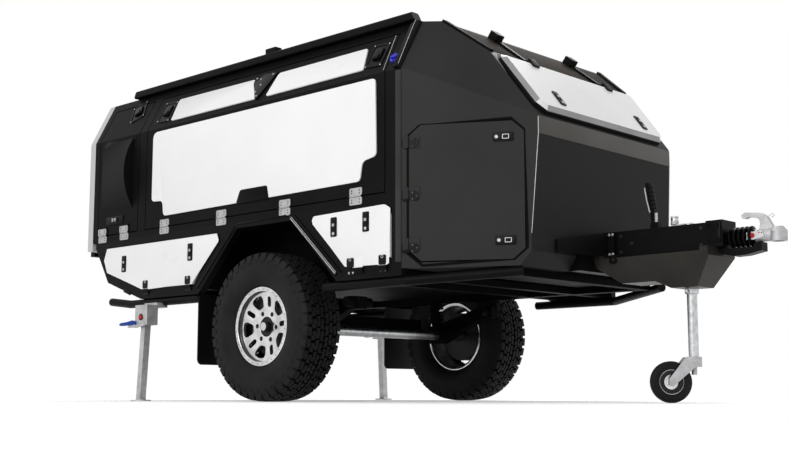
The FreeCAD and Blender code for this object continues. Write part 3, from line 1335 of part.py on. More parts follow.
for thing in doc.Objects:
    if "Invalid" in thing.State or "Error" in thing.State:
        raise RuntimeError("%s is %s" % (thing.Label, thing.State))
for thing in NODES:
    shape = thing.Shape
    if shape.isNull() or not shape.isValid():
        raise RuntimeError(thing.Label + " has no valid shape")
    print("%-24s %3d solids %9.1f cm3" % (thing.Label, len(shape.Solids), shape.Volume / 1000))
    shape.exportStep("parts/%s.step" % thing.Label)
print(len(NODES), "nodes")
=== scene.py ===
# %% [markdown]
# # Dressing an off-road camping trailer
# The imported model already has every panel, tube, hinge and wheel at its true size.
# This lesson gives each of those solids a finish, draws a few of them again in more detail,
# and adds the small things that solids are poor at: tread blocks, bolt heads, latches,
# lamps and trim. Everything is in metres, +X is forward, +Y is the trailer's left, +Z is up.

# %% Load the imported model
import math

import bmesh
import bpy
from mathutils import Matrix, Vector


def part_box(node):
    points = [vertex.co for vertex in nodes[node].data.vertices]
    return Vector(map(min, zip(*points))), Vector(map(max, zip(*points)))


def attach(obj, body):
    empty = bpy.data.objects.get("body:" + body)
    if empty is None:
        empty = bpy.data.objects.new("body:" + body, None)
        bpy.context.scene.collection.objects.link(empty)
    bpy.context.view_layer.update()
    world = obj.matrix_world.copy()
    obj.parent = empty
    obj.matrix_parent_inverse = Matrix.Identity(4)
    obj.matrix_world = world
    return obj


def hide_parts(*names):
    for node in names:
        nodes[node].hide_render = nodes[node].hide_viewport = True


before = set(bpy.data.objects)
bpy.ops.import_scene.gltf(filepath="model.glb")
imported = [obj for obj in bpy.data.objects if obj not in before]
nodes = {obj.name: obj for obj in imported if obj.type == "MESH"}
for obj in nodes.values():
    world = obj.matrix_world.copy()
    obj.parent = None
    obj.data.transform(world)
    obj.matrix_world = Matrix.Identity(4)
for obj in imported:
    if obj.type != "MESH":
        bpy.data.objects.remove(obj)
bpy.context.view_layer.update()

# %% [markdown]
# ## Flat places to build on
# Latches, bolts and trim all sit on flat panels, so each panel gets a small frame of its
# own: an origin, a direction along it, a direction up it and the way out. A helper turns
# (along, up, out) into a point in the room, so a latch is described once and placed
# anywhere. The two sides of the trailer share one description, with the sign of Y changed.

# %% Surface frames
SIDES = {"right": -1, "left": 1}
HALF_WIDTH = 0.925
KINK = 1.63
EAVE = (0.787, 1.9)
CABIN_FRONT = 0.642
LIP = (1.22, 0.594)


class Surface:
    """A flat place: a point by its distance along, up and out of it."""

    def __init__(self, origin, along, up, out):
        self.origin = Vector(origin)
        self.along = Vector(along).normalized()
        self.up = Vector(up).normalized()
        self.out = Vector(out).normalized()

    def at(self, along, up, out=0.0):
        return self.origin + self.along * along + self.up * up + self.out * out

    def turned(self, along, up, degrees=0):
        """The same plane with its origin moved and its axes turned."""
        c, s = math.cos(math.radians(degrees)), math.sin(math.radians(degrees))
        return Surface(self.at(along, up), self.along * c + self.up * s,
                       self.up * c - self.along * s, self.out)


def side_wall(side, y=HALF_WIDTH, x=0.0, z=0.0):
    """An upright plane that faces out to one side, at a distance from the middle."""
    s = SIDES[side]
    return Surface((x, s * y, z), (1, 0, 0), (0, 0, 1), (0, s, 0))


def upper_slope(side):
    s = SIDES[side]
    run = Vector((0, s * (EAVE[0] - HALF_WIDTH), EAVE[1] - KINK))
    return Surface((0, s * HALF_WIDTH, KINK), (1, 0, 0), run, (0, s * run.z, abs(run.y)))


def nose_wall(side):
    s = SIDES[side]
    run = Vector((LIP[0] - CABIN_FRONT, s * (LIP[1] - HALF_WIDTH), 0))
    return Surface((CABIN_FRONT, s * HALF_WIDTH, 0), run, (0, 0, 1), (abs(run.y), s * run.x, 0))


hood = Surface((0.946, 0, 1.717), (0, 1, 0), (-0.6078, 0, 0.7941), (0.7941, 0, 0.6078))
print("slope leans", round(math.degrees(math.atan2(HALF_WIDTH - EAVE[0], EAVE[1] - KINK)), 1), "degrees")

# %% [markdown]
# ## Tools for making shapes
# Shapes are drawn in a bmesh, which is Blender's editable mesh. Three kinds cover nearly
# everything here: an outline given a thickness, a profile turned round an axis, and a round
# bar along a line. All three are rings of corners with faces between them. Raised edges get
# a small bevel, because no real edge is perfectly sharp and the bevel catches the light.

# %% Shapes made of rings
BEVEL_PROFILE = 0.6


def bridge(bm, one, two):
    """Faces between two rings of corners, of which one may be a single point."""
    for k in range(max(len(one), len(two))):
        n = k + 1
        corners = [one[k % len(one)], one[n % len(one)], two[n % len(two)], two[k % len(two)]]
        corners = list(dict.fromkeys(corners))
        if len(corners) > 2:
            bm.faces.new(corners)


def ring(bm, surface, outline, out):
    """The outline's corners, at one height over the surface."""
    return [bm.verts.new(surface.at(u, v, out)) for u, v in outline]


def circle(radius, segments):
    angles = [math.tau * k / segments for k in range(segments)]
    return [(radius * math.cos(a), radius * math.sin(a)) for a in angles]


def add_prism(bm, surface, outline, low, high, bevel=0.0, crown=None):
    """An outline from one height to another; its top may be an outline of its own."""
    bottom = ring(bm, surface, outline, low)
    top = ring(bm, surface, crown or outline, high)
    bm.faces.new(bottom)
    lid = bm.faces.new(top)
    bridge(bm, bottom, top)
    if bevel:
        bmesh.ops.bevel(bm, geom=list(lid.edges), offset=bevel, segments=2, affect="EDGES",
                        profile=BEVEL_PROFILE)


def add_band(bm, surface, inner, outer, low, high):
    """A flat ring between two outlines that have the same number of corners."""
    rings = [ring(bm, surface, outline, out)
             for outline, out in ((inner, low), (inner, high), (outer, high), (outer, low))]
    for one, two in zip(rings, rings[1:] + rings[:1]):
        bridge(bm, one, two)


def add_lathe(bm, surface, profile, segments, closed=False):
    """A profile of (radius, out) turned round the surface's outward axis."""
    rings = [ring(bm, surface, circle(radius, segments if radius else 1), out) for radius, out in profile]
    for one, two in zip(rings, rings[1:] + (rings[:1] if closed else [])):
        bridge(bm, one, two)
    for end in (rings[0], rings[-1]):
        if len(end) > 2 and not closed:
            bm.faces.new(end)


def add_tube(bm, points, radius, segments):
    """A round bar along a bent line, closed at both ends."""
    points = [Vector(p) for p in points]
    rings = []
    normal = (points[1] - points[0]).orthogonal().normalized()
    for i, p in enumerate(points):
        ahead = (points[min(i + 1, len(points) - 1)] - points[max(i - 1, 0)]).normalized()
        normal = (normal - ahead * normal.dot(ahead)).normalized()
        other = ahead.cross(normal)
        rings.append([bm.verts.new(p + normal * x + other * y) for x, y in circle(radius, segments)])
    for one, two in zip(rings, rings[1:]):
        bridge(bm, one, two)
    bm.faces.new(rings[0])
    bm.faces.new(rings[-1])


def add_bolt(bm, surface, u, v, radius, height, base=0.0):
    """A washer with a chamfered hexagon head on it."""
    place = surface.turned(u, v)
    add_lathe(bm, place, [(radius * 1.5, base - 0.001), (radius * 1.5, base + height * 0.25),
                          (radius * 0.9, base + height * 0.3)], 16)
    add_lathe(bm, place, [(radius, base + height * 0.2), (radius, base + height * 0.85),
                          (radius * 0.82, base + height)], 6)


def add_screw(bm, surface, u, v, radius, height, base=0.0):
    """A low round screw head."""
    add_lathe(bm, surface.turned(u, v), [(radius, base - 0.0005), (radius, base + height * 0.4),
              (radius * 0.7, base + height), (radius * 0.25, base + height * 0.8)], 12)


print("corners of a screw head:", len(circle(1, 12)))

# %% [markdown]
# An outline is a list of (along, up) corners. Routed sheets and moulded parts have round
# corners, and a rim or a seal follows an outline at a distance, so three helpers make those.

# %% Outlines
EASE_STEPS = 4
EASE_LIMIT = 0.45
SHARPEST = 0.2


def rounded(width, height, radius, steps=3):
    """A rectangle with round corners, centred on zero."""
    points = []
    for cx, cy, start in ((1, 1, 0), (-1, 1, 90), (-1, -1, 180), (1, -1, 270)):
        for k in range(steps + 1):
            a = math.radians(start + 90 * k / steps)
            points.append((cx * (width / 2 - radius) + radius * math.cos(a),
                           cy * (height / 2 - radius) + radius * math.sin(a)))
    return points


def eased(outline, radius):
    """The same outline with its corners turned into short curves."""
    points = []
    for i, corner in enumerate(outline):
        here = Vector(corner)
        before = Vector(outline[i - 1]) - here
        after = Vector(outline[(i + 1) % len(outline)]) - here
        start = here + before.normalized() * min(radius, EASE_LIMIT * before.length)
        end = here + after.normalized() * min(radius, EASE_LIMIT * after.length)
        for k in range(EASE_STEPS + 1):
            t = k / EASE_STEPS
            points.append(tuple(start * (1 - t) ** 2 + here * 2 * t * (1 - t) + end * t ** 2))
    return points


def grown(outline, distance):
    """The outline moved outward by a distance, for corners listed either way round."""
    area = sum(a[0] * b[1] - b[0] * a[1] for a, b in zip(outline, outline[1:] + outline[:1]))
    hand = 1 if area > 0 else -1
    points = []
    for i, corner in enumerate(outline):
        here = Vector(corner)
        one = (here - Vector(outline[i - 1])).normalized()
        two = (Vector(outline[(i + 1) % len(outline)]) - here).normalized()
        normal_one, normal_two = Vector((one.y, -one.x)) * hand, Vector((two.y, -two.x)) * hand
        middle = (normal_one + normal_two) / max(1 + normal_one.dot(normal_two), SHARPEST)
        points.append(tuple(here + middle * distance))
    return points


print("corners of an eased triangle:", len(eased([(0, 0), (1, 0), (0, 1)], 0.1)))

# %% [markdown]
# A piece is a list of shapes, and each shape is a drawing function followed by its values.
# The piece wears a finish and rides on one body of the model, so it moves with that body's
# joint. Windows are cut out of a piece with a boolean, and a bevel then rounds the cut
# edges.

# %% Pieces
CUT_ANGLE = 40
made = []


def drawn(name, shapes):
    """An object made of shapes: drawing functions, each with its values."""
    bm = bmesh.new()
    for draw, *values in shapes:
        draw(bm, *values)
    bmesh.ops.recalc_face_normals(bm, faces=bm.faces)
    mesh = bpy.data.meshes.new(name)
    bm.to_mesh(mesh)
    bm.free()
    obj = bpy.data.objects.new(name, mesh)
    bpy.context.scene.collection.objects.link(obj)
    return obj


def smoothed(mesh, angle):
    """Smooth shading, with edges sharper than the angle left crisp."""
    mesh.shade_smooth()
    mesh.set_sharp_from_angle(angle=math.radians(angle))


def piece(name, body, finish, *shapes, slot=None, smooth=30):
    """Draws shapes as one object that wears a finish and rides on a body."""
    obj = drawn(name, shapes)
    obj.data.materials.append(finish)
    smoothed(obj.data, smooth)
    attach(obj, body)
    made.append(obj)
    return obj


def carved(obj, shapes, bevel):
    """Cuts drawn shapes out of a piece, then rounds its sharp edges."""
    tool = drawn("cutter", shapes)
    cut = obj.modifiers.new("Cut", "BOOLEAN")
    cut.object = tool
    cut.solver = "EXACT"
    soften = obj.modifiers.new("Soften", "BEVEL")
    soften.width = bevel
    soften.segments = 2
    soften.limit_method = "ANGLE"
    soften.angle_limit = math.radians(CUT_ANGLE)
    bpy.context.view_layer.update()
    result = bpy.data.meshes.new_from_object(obj.evaluated_get(bpy.context.evaluated_depsgraph_get()))
    result.name = obj.name
    obj.modifiers.clear()
    obj.data = result
    smoothed(result, 35)
    bpy.data.objects.remove(tool)


print("pieces so far:", len(made))

# %% [markdown]
# ## Finishes
# A finish is a small network of nodes. A noise texture shifts the colour between two
# close tones and changes the roughness a little, and a finer one raises a faint grain, so
# no panel is one flat colour. The colours are written as they should look in plain light.
# One helper adds a node and feeds its inputs, with values or from another node's output.

# %% Material helpers
def feed(tree, node, inputs):
    """Sets a node's inputs, or joins them to the outputs of other nodes."""
    for label, value in inputs.items():
        if isinstance(value, bpy.types.NodeSocket):
            tree.links.new(value, node.inputs[label])
        else:
            node.inputs[label].default_value = value
    return node


def wired(tree, kind, inputs):
    """A new shader node with its inputs fed."""
    return feed(tree, tree.nodes.new("ShaderNode" + kind), inputs)


def tone(value):
    """A colour, from one number for a grey or from three."""
    return (*value, 1) if isinstance(value, tuple) else (value, value, value, 1)


def finish(name, tone_a, tone_b, rough_a, rough_b, metallic=0.0, patch=3.0, grain=900.0, bump=0.02,
           depth=0.0004, specular=0.5):
    """A procedural surface: two tones in soft patches and a fine raised grain."""
    mat = bpy.data.materials.new(name)
    mat.use_nodes = True
    tree = mat.node_tree
    where = wired(tree, "TexCoord", {}).outputs["Object"]
    soft = wired(tree, "TexNoise", {"Scale": patch, "Detail": 4, "Vector": where}).outputs["Fac"]
    tones = wired(tree, "ValToRGB", {"Fac": soft})
    for number, (colour, position) in enumerate(((tone_a, 0.35), (tone_b, 0.65))):
        tones.color_ramp.elements[number].color = tone(colour)
        tones.color_ramp.elements[number].position = position
    rough = wired(tree, "MapRange", {"To Min": rough_a, "To Max": rough_b, "Value": soft})
    fine = wired(tree, "TexNoise", {"Scale": grain, "Detail": 2, "Vector": where}).outputs["Fac"]
    raised = wired(tree, "Bump", {"Strength": bump, "Distance": depth, "Height": fine})
    feed(tree, tree.nodes["Principled BSDF"], {
        "Metallic": metallic, "Specular IOR Level": specular, "Base Color": tones.outputs["Color"],
        "Roughness": rough.outputs["Result"], "Normal": raised.outputs["Normal"]})
    return mat


print("a grey tone is written", tone(0.5))

# %% [markdown]
# The trailer wears dark grey paint on the nose, a darker one on the hatches, a near-black
# coat on frames and tubes, gloss white composite on skins and lids, cast and plated steel
# on the coupling and legs, bright metal on the rims, and three rubber finishes, of which the
# darkest and dullest is painted shade for the tread grooves. The black ones are given little
# gloss, or the white room would turn them grey.

# %% Finishes of this trailer
nose_paint = finish("NosePaint", (0.024, 0.024, 0.0235), (0.029, 0.029, 0.0285), 0.45, 0.55, bump=0.12,
                    specular=0.09)
front_paint = finish("FrontPaint", (0.016, 0.016, 0.0155), (0.02, 0.02, 0.0195), 0.45, 0.55, bump=0.12,
                     specular=0.07)
hatch_paint = finish("HatchPaint", 0.005, 0.007, 0.42, 0.5, bump=0.12, specular=0.04)
frame_black = finish("FrameCoat", 0.003, 0.005, 0.34, 0.45, grain=1400, bump=0.25, specular=0.06)
deep_black = finish("UnderbodyCoat", 0.002, 0.004, 0.5, 0.65, grain=600, bump=0.3, specular=0.03)
gloss_black = finish("GlossBlack", 0.002, 0.003, 0.15, 0.24, bump=0.03, specular=0.07)
# Warm grey for the nose band and the hood's corners: painted reflection, lighter than the paint beneath.
warm_grey_reflection = finish("WarmGreyReflection", (0.1, 0.095, 0.088), (0.122, 0.116, 0.108), 0.36, 0.46, bump=0.06,
                   patch=2.0, specular=0.1)
rear_grey = finish("RearPanelGrey", 0.52, 0.58, 0.32, 0.4, bump=0.04, specular=0.2)
strip_grey = finish("CornerStrip", (0.022, 0.021, 0.02), (0.038, 0.036, 0.034), 0.3, 0.4, bump=0.06,
                    patch=2.4, specular=0.15)
# Warm brown for the brow plate: painted reflection that lightens the brow's upper facet.
brow_reflection_brown = finish("BrowPaintedReflection", (0.018, 0.014, 0.011), (0.034, 0.027, 0.022), 0.5, 0.6, patch=1.3,
                    bump=0.03, specular=0.01)
keel_paint = finish("KeelPaint", (0.022, 0.02, 0.018), (0.036, 0.033, 0.029), 0.35, 0.45, patch=4.0,
                    bump=0.1, specular=0.12)
white_skin = finish("WhiteComposite", 0.88, 0.91, 0.25, 0.32, bump=0.03, specular=0.3)
# Grey for the front hatch's bevels: painted shade on facets that face away from the light.
facet_shade_grey = finish("BevelPaintedShade", (0.29, 0.29, 0.295), (0.35, 0.35, 0.355), 0.35, 0.45, patch=6, bump=0.06)
hinge_alloy = finish("HingeAlloy", 0.4, 0.5, 0.42, 0.55, metallic=0.8, patch=30, bump=0.12)
cast_grey = finish("CastAlloy", (0.42, 0.42, 0.43), (0.56, 0.56, 0.57), 0.45, 0.6, metallic=0.6, patch=22,
                   grain=420, bump=0.3)
plated = finish("PlatedSteel", (0.42, 0.43, 0.44), (0.62, 0.63, 0.64), 0.24, 0.4, metallic=1.0, patch=40,
                bump=0.1)
bright_alloy = finish("MachinedAlloy", (0.5, 0.5, 0.51), (0.74, 0.74, 0.75), 0.14, 0.26, metallic=1.0,
                      patch=14, bump=0.05)
dark_alloy = finish("BarrelAlloy", 0.02, 0.09, 0.14, 0.24, metallic=1.0, patch=10, bump=0.05)
tyre_rubber = finish("TyreRubber", 0.007, (0.014, 0.014, 0.0135), 0.5, 0.7, patch=9, grain=500,
                     bump=0.4, depth=0.001, specular=0.12)
# A darker, duller rubber for the tread floor between the blocks: painted shade in the grooves.
groove_shade_rubber = finish("GrooveShadeRubber", 0.0015, 0.003, 0.8, 0.9, patch=9, grain=500,
                       bump=0.4, depth=0.001, specular=0.02)
soft_rubber = finish("SoftRubber", 0.003, 0.006, 0.4, 0.55, grain=700, bump=0.3, specular=0.1)
black_plastic = finish("BlackPlastic", 0.003, 0.006, 0.32, 0.45, grain=1800, bump=0.2, specular=0.1)
lining = finish("LiningBoard", (0.36, 0.35, 0.34), (0.42, 0.41, 0.4), 0.6, 0.75, patch=12, grain=200,
                bump=0.2)
cast_black = finish("CastIronPaint", 0.008, 0.014, 0.4, 0.55, grain=250, bump=0.5, depth=0.001, specular=0.25)
blue_plastic = finish("BluePlastic", (0.001, 0.002, 0.3), (0.002, 0.004, 0.42), 0.3, 0.4, bump=0.1)
blue_paint = finish("BlueLever", (0.004, 0.03, 0.22), (0.006, 0.045, 0.28), 0.3, 0.4, bump=0.15, specular=0.2)
red_plastic = finish("RedPlastic", (0.42, 0.004, 0.006), (0.52, 0.006, 0.009), 0.25, 0.35, bump=0.1,
                     specular=0.2)
amber_plastic = finish("AmberLens", (0.75, 0.22, 0.01), (0.85, 0.28, 0.015), 0.15, 0.25, bump=0.05)
print("finishes:", len(bpy.data.materials))

# %% [markdown]
# Each solid of the imported model is given its finish by name.

# %% Who wears what
FINISH_OF = {
    nose_paint: ["nose_sides", "nose_door_right", "nose_door_left"],
    front_paint: ["nose_front"],
    hatch_paint: ["cabin_sides", "roof_panel", "main_hatch_right", "main_hatch_left",
                  "small_hatch_right", "small_hatch_left"],
    frame_black: ["side_frames", "nose_top", "roof_rails", "rear_bumper", "side_tubes",
                  "roof_brackets", "drawbar", "front_hatch_frame", "hand_brake"],
    deep_black: ["chassis_frame", "cross_members", "wheel_housings", "nose_floor", "locker_boxes",
                 "water_tank", "cabin_floor", "dampers", "trailing_arms"],
    keel_paint: ["keel_box"],
    rear_grey: ["rear_wall", "tailgate"],
    white_skin: ["hatch_skins_right", "hatch_skins_left", "front_hatch", "rear_locker_lid_right",
                 "rear_locker_lid_left", "front_locker_lid_right", "front_locker_lid_left"],
    hinge_alloy: ["side_hinges"],
    cast_grey: ["coupling_head", "coupling_handle", "jockey_fork", "leg_heads", "corner_leg_right",
                "corner_leg_left"],
    plated: ["jockey_post", "jockey_sleeve", "axle_beam"],
    bright_alloy: ["rim_right", "rim_left", "jockey_rim"],
    tyre_rubber: ["tyre_right", "tyre_left", "jockey_tyre"],
    soft_rubber: ["mudflaps"],
    gloss_black: ["bellows"],
    lining: ["front_bulkhead"],
    cast_black: ["wheel_hub_right", "wheel_hub_left"],
}
for mat, names in FINISH_OF.items():
    for name in names:
        nodes[name].data.materials.clear()
        nodes[name].data.materials.append(mat)
print("nodes with no finish:", sorted(set(nodes) - {n for names in FINISH_OF.values() for n in names}))

# %% [markdown]
# ## Tyres
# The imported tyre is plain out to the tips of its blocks. The real one is an all-terrain
# tyre: a side wall with a raised guard ring, big shoulder blocks that reach down the side
# wall, and small interlocked blocks across the tread. A texture would not change its
# outline against the floor, so every block is a shape on a turned carcass. A block's
# outline is given in pitches round the tyre and in metres across it.

# %% Tyre and its blocks
AXLE_X, AXLE_Z = -0.418, 0.4025
WHEEL_Y = 0.803
TYRE_RADIUS = 0.402
PITCHES = 40
BLOCK_DEPTH = 0.0125
SHOULDER_DEPTH = 0.014
WALL_BLOCK_DEPTH = 0.012
WALL_FROM = 0.34
WALL_OUT = (0.1322, -0.27)
HALF_CARCASS = [(0.2045, 0.0875), (0.215, 0.0935), (0.219, 0.1005), (0.23, 0.1115), (0.258, 0.1262),
                (0.2915, 0.1318), (0.3, 0.1322), (0.302, 0.132), (0.309, 0.1318), (0.3325, 0.1305),
                (0.352, 0.1272), (0.3685, 0.1215), (0.38, 0.113), (0.3865, 0.102), (0.3895, 0.08),
                (0.3905, 0.04), (0.391, 0.0)]
CARCASS = HALF_CARCASS + [(r, -a) for r, a in reversed(HALF_CARCASS[:-1])]
TREAD_FLOOR = [(0.3872, -0.104), (0.3905, -0.08), (0.3917, 0.0), (0.3905, 0.08), (0.3872, 0.104),
               (0.38, 0.1), (0.38, -0.1)]
TREAD_ROWS = (
    [(0.02, 0.002), (0.44, 0.012), (0.6, 0.003), (0.98, 0.011), (0.9, 0.03), (0.52, 0.024),
     (0.36, 0.032), (0.06, 0.022)],
    [(0.3, 0.037), (0.62, 0.029), (0.8, 0.036), (1.2, 0.031), (1.14, 0.055), (0.74, 0.05),
     (0.6, 0.06), (0.24, 0.056)],
    [(0.1, 0.061), (0.4, 0.065), (0.56, 0.056), (0.92, 0.06), (0.9, 0.084), (0.62, 0.078),
     (0.46, 0.087), (0.12, 0.083)])


def on_tyre(place, turn, across, drop):
    """A point by its turn round the tyre, its distance across and its depth under the tread."""
    radius = TYRE_RADIUS - 0.006 * (across / 0.115) ** 4 - drop
    return place.at(radius * math.cos(turn), radius * math.sin(turn), across)


def add_block(bm, place, outline, depth, inset=0.0024):
    """One tread block: its top is a little smaller than its foot."""
    mid_t = sum(p[0] for p in outline) / len(outline)
    mid_a = sum(p[1] for p in outline) / len(outline)
    foot, crest = [], []
    for t, a in outline:
        foot.append(bm.verts.new(on_tyre(place, t / TYRE_RADIUS, a, depth)))
        k = 1 - inset / math.hypot(t - mid_t, a - mid_a)
        turn = (mid_t + (t - mid_t) * k) / TYRE_RADIUS
        crest.append(bm.verts.new(on_tyre(place, turn, mid_a + (a - mid_a) * k, 0)))
    bm.faces.new(crest)
    bridge(bm, foot, crest)


def add_wall_block(bm, place, hand, turns, low, high):
    """A raised block on the side wall, between two turns and two radii."""
    top, deep = [], []
    for corners, down in ((top, 0), (deep, WALL_BLOCK_DEPTH)):
        for radius in (low, (low + high) / 2, high):
            out = WALL_OUT[0] + (radius - WALL_FROM) * WALL_OUT[1]
            corners.append([bm.verts.new(place.at(radius * math.cos(a), radius * math.sin(a),
                                                  hand * (out - down))) for a in turns])
    for k in range(2):
        bm.faces.new((top[k][0], top[k][1], top[k + 1][1], top[k + 1][0]))
        for end in (0, 1):
            bm.faces.new((top[k][end], top[k + 1][end], deep[k + 1][end], deep[k][end]))
    for k in (0, 2):
        bm.faces.new((top[k][0], top[k][1], deep[k][1], deep[k][0]))


def draw_blocks(bm, place):
    """Rows of interlocked blocks on both hands of the tyre, then the shoulders and side walls."""
    pitch = math.tau * TYRE_RADIUS / PITCHES
    for n in range(PITCHES):
        edge = 0.108 if n % 2 else 0.113
        shoulder = [(0.42, 0.093), (0.6, 0.084), (1.22, 0.09), (1.26, edge), (0.48, edge)]
        depths = [(row, BLOCK_DEPTH) for row in TREAD_ROWS] + [(shoulder, SHOULDER_DEPTH)]
        for hand in (-1, 1):
            shift = n * pitch + (pitch / 2 if hand > 0 else 0)
            for outline, depth in depths:
                add_block(bm, place, [(shift + t * pitch, hand * a) for t, a in outline], depth)
            for start, end, low, high in ((0.46, 1.2, 0.36 if n % 2 else 0.352, 0.3935),
                                          (0.58, 1.02, 0.342, 0.35)):
                turns = [(shift + t * pitch) / TYRE_RADIUS for t in (start, end)]
                add_wall_block(bm, place, hand, turns, low, high)


for side in SIDES:
    place = side_wall(side, WHEEL_Y, AXLE_X, AXLE_Z)
    tyre = piece("tyre_tread_" + side, "wheel_" + side, tyre_rubber,
                 (add_lathe, place, CARCASS, 120, True), (draw_blocks, place), smooth=35)
    # The tread floor under the blocks wears the darker rubber, which paints the shade in the grooves.
    groove = piece("tyre_groove_shade_" + side, "wheel_" + side, groove_shade_rubber,
                   (add_lathe, place, TREAD_FLOOR, 120, True))
    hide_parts("tyre_" + side)
    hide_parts("tyre_" + side)
print("tyre faces:", len(tyre.data.polygons))

# %% [markdown]
# ## Rims
# The rim is a bright barrel with a dished face of ten spokes: five wide windows and five
# narrow slots between them. The face is a turned plate with the windows cut out of it, and
# a bevel runs along every cut edge, because that edge is what glints. The barrel is a
# piece of its own, and a dark liner inside it stands for the shade in its depth.

# %% Rim face, barrel, nuts and cap
WINDOW_TURN = 41
NUT_TURN = -4
NUT_RING = 0.077
BOLT_RING = 0.2015
BOLTS = 32
CUT_LEVELS = (0.02, 0.095)
WIDE_WINDOW = [(0.105, -0.016), (0.112, -0.026), (0.146, -0.043), (0.166, -0.038), (0.174, 0.0),
               (0.166, 0.038), (0.146, 0.043), (0.112, 0.026), (0.105, 0.016)]
RIM_FACE = [(0.0535, 0.0555), (0.0545, 0.0565), (0.096, 0.0565), (0.1, 0.0572), (0.178, 0.0758),
            (0.183, 0.0763), (0.1945, 0.0763), (0.1945, 0.0545), (0.179, 0.0545), (0.099, 0.0345),
            (0.0535, 0.0345)]
BARREL = [(0.1938, 0.076), (0.1938, 0.093), (0.19, 0.0965), (0.19, 0.099), (0.1925, 0.1008),
          (0.21, 0.1012), (0.213, 0.1), (0.2138, 0.0975), (0.2138, 0.093), (0.2035, 0.087),
          (0.2028, 0.08), (0.2028, -0.08), (0.2035, -0.087), (0.2138, -0.093),
          (0.2138, -0.098), (0.212, -0.101), (0.206, -0.1012), (0.1945, -0.095), (0.1938, 0.054)]
WELL = [(0.1934, 0.077), (0.1934, 0.0922), (0.1929, 0.0922), (0.1929, 0.077)]
# A thin turned sheet inside the barrel, dark as painted shade for the rim's depth.
DEPTH_SHADE = [(0.1922, -0.094), (0.1932, -0.094), (0.1932, 0.052), (0.1922, 0.052)]
HUB_CAP = [(0.025, 0.045), (0.025, 0.076), (0.0232, 0.0808), (0.018, 0.0822), (0.0, 0.0822)]


def draw_windows(bm, place):
    for k in range(5):
        wide = place.turned(0, 0, WINDOW_TURN + 72 * k)
        add_prism(bm, wide, eased(WIDE_WINDOW, 0.01), *CUT_LEVELS)
        narrow = wide.turned(0, 0, 36).turned(0.1365, 0)
        add_prism(bm, narrow, rounded(0.058, 0.028, 0.0135, 5), *CUT_LEVELS)
    for k in range(6):
        pocket = place.turned(0, 0, 60 * k + NUT_TURN).turned(NUT_RING, 0)
        add_lathe(bm, pocket, [(0.0, 0.047), (0.012, 0.047), (0.0145, 0.07), (0.0, 0.07)], 20)


def draw_wheel_nuts(bm, place):
    for k in range(6):
        add_bolt(bm, place.turned(0, 0, 60 * k + NUT_TURN), NUT_RING, 0, 0.0072, 0.012, 0.0465)


def draw_ring_bolts(bm, place):
    for k in range(BOLTS):
        a = math.tau * (k + 0.5) / BOLTS
        add_screw(bm, place, BOLT_RING * math.cos(a), BOLT_RING * math.sin(a), 0.0026, 0.0016, 0.1012)


for side in SIDES:
    place = side_wall(side, WHEEL_Y, AXLE_X, AXLE_Z)
    body = "wheel_" + side
    face = piece("rim_face_" + side, body, bright_alloy, (add_lathe, place, RIM_FACE, 96, True))
    carved(face, [(draw_windows, place)], 0.0016)
    barrel = piece("rim_barrel_" + side, body, bright_alloy, (add_lathe, place, BARREL, 96, True),
                   smooth=40)
    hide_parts("rim_" + side)
    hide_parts("rim_" + side)
    piece("rim_well_" + side, body, dark_alloy, (add_lathe, place, WELL, 96, True))
    # The dark sheet inside the barrel is painted shade, standing for the shade in the rim's depth.
    piece("rim_depth_shade_" + side, body, cast_black, (add_lathe, place, DEPTH_SHADE, 96, True), slot="alloy")
    piece("ring_bolts_" + side, body, dark_alloy, (draw_ring_bolts, place))
    piece("wheel_nuts_" + side, body, cast_black, (draw_wheel_nuts, place), slot="cast_hub")
    piece("hub_cap_" + side, body, bright_alloy, (add_lathe, place, HUB_CAP, 40))
print("rim face polygons:", len(face.data.polygons))

# %% [markdown]
# ## White skins and their hinges
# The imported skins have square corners, and the real ones are routed from sheet with round
# corners. The outlines are drawn again with eased corners, a hair proud of the hatch. Below
# them run the hinges, pairs of cast leaves: one on the hatch, one on the body, with screws
# and a knuckle between. They are plates with round corners here.

# %% Hatch skins and hinge leaves
SKIN = 0.007
MAIN_SKIN = [(-1.405, 1.585), (-1.381, 1.607), (0.469, 1.607), (0.476, 1.212), (0.379, 1.195),
             (0.362, 1.096), (-1.286, 1.088), (-1.296, 1.18), (-1.405, 1.186)]
REAR_LIGHT = [(-1.256, 0.034), (-1.268, 0.195), (-0.557, 0.19), (-0.566, 0.168), (-0.479, 0.038)]
FRONT_LIGHT = [(-0.391, 0.036), (-0.358, 0.19), (0.331, 0.194), (0.361, 0.046)]
MAIN_HINGES = (-1.32, -0.785, -0.249, 0.286)
SMALL_HINGES = (-1.968, -1.734)
LEAF_WIDE = 0.088
LEAF_THICK = 0.004
PROUD = 0.0002
OVER_BULGE = 0.0048
LEAF_LOW = (0.98, 1.02)
LEAF_HIGH = (1.027, 1.067)


def draw_skins(bm, wall, slope):
    add_prism(bm, wall, eased(MAIN_SKIN, 0.024), PROUD, SKIN, 0.0012)
    for outline in (REAR_LIGHT, FRONT_LIGHT):
        add_prism(bm, slope, eased(outline, 0.016), PROUD, SKIN, 0.0012)


def draw_leaves(bm, wall, places, span, low):
    for x in places:
        middle = wall.turned(x + LEAF_WIDE / 2, (span[0] + span[1]) / 2)
        add_prism(bm, middle, rounded(LEAF_WIDE, span[1] - span[0], 0.008), low, low + LEAF_THICK, 0.001)


def draw_leaf_screws(bm, wall, places, span, low):
    for x in places:
        for u in (0.017, LEAF_WIDE - 0.017):
            for v in (span[0] + 0.013, span[1] - 0.013):
                add_screw(bm, wall, x + u, v, 0.0038, 0.001, low + LEAF_THICK)


def draw_knuckles(bm, wall, places):
    for x in places:
        y = wall.out * 0.006
        ends = [wall.at(x + 0.004, 1.0235) + y, wall.at(x + LEAF_WIDE - 0.004, 1.0235) + y]
        add_tube(bm, ends, 0.0032, 10)


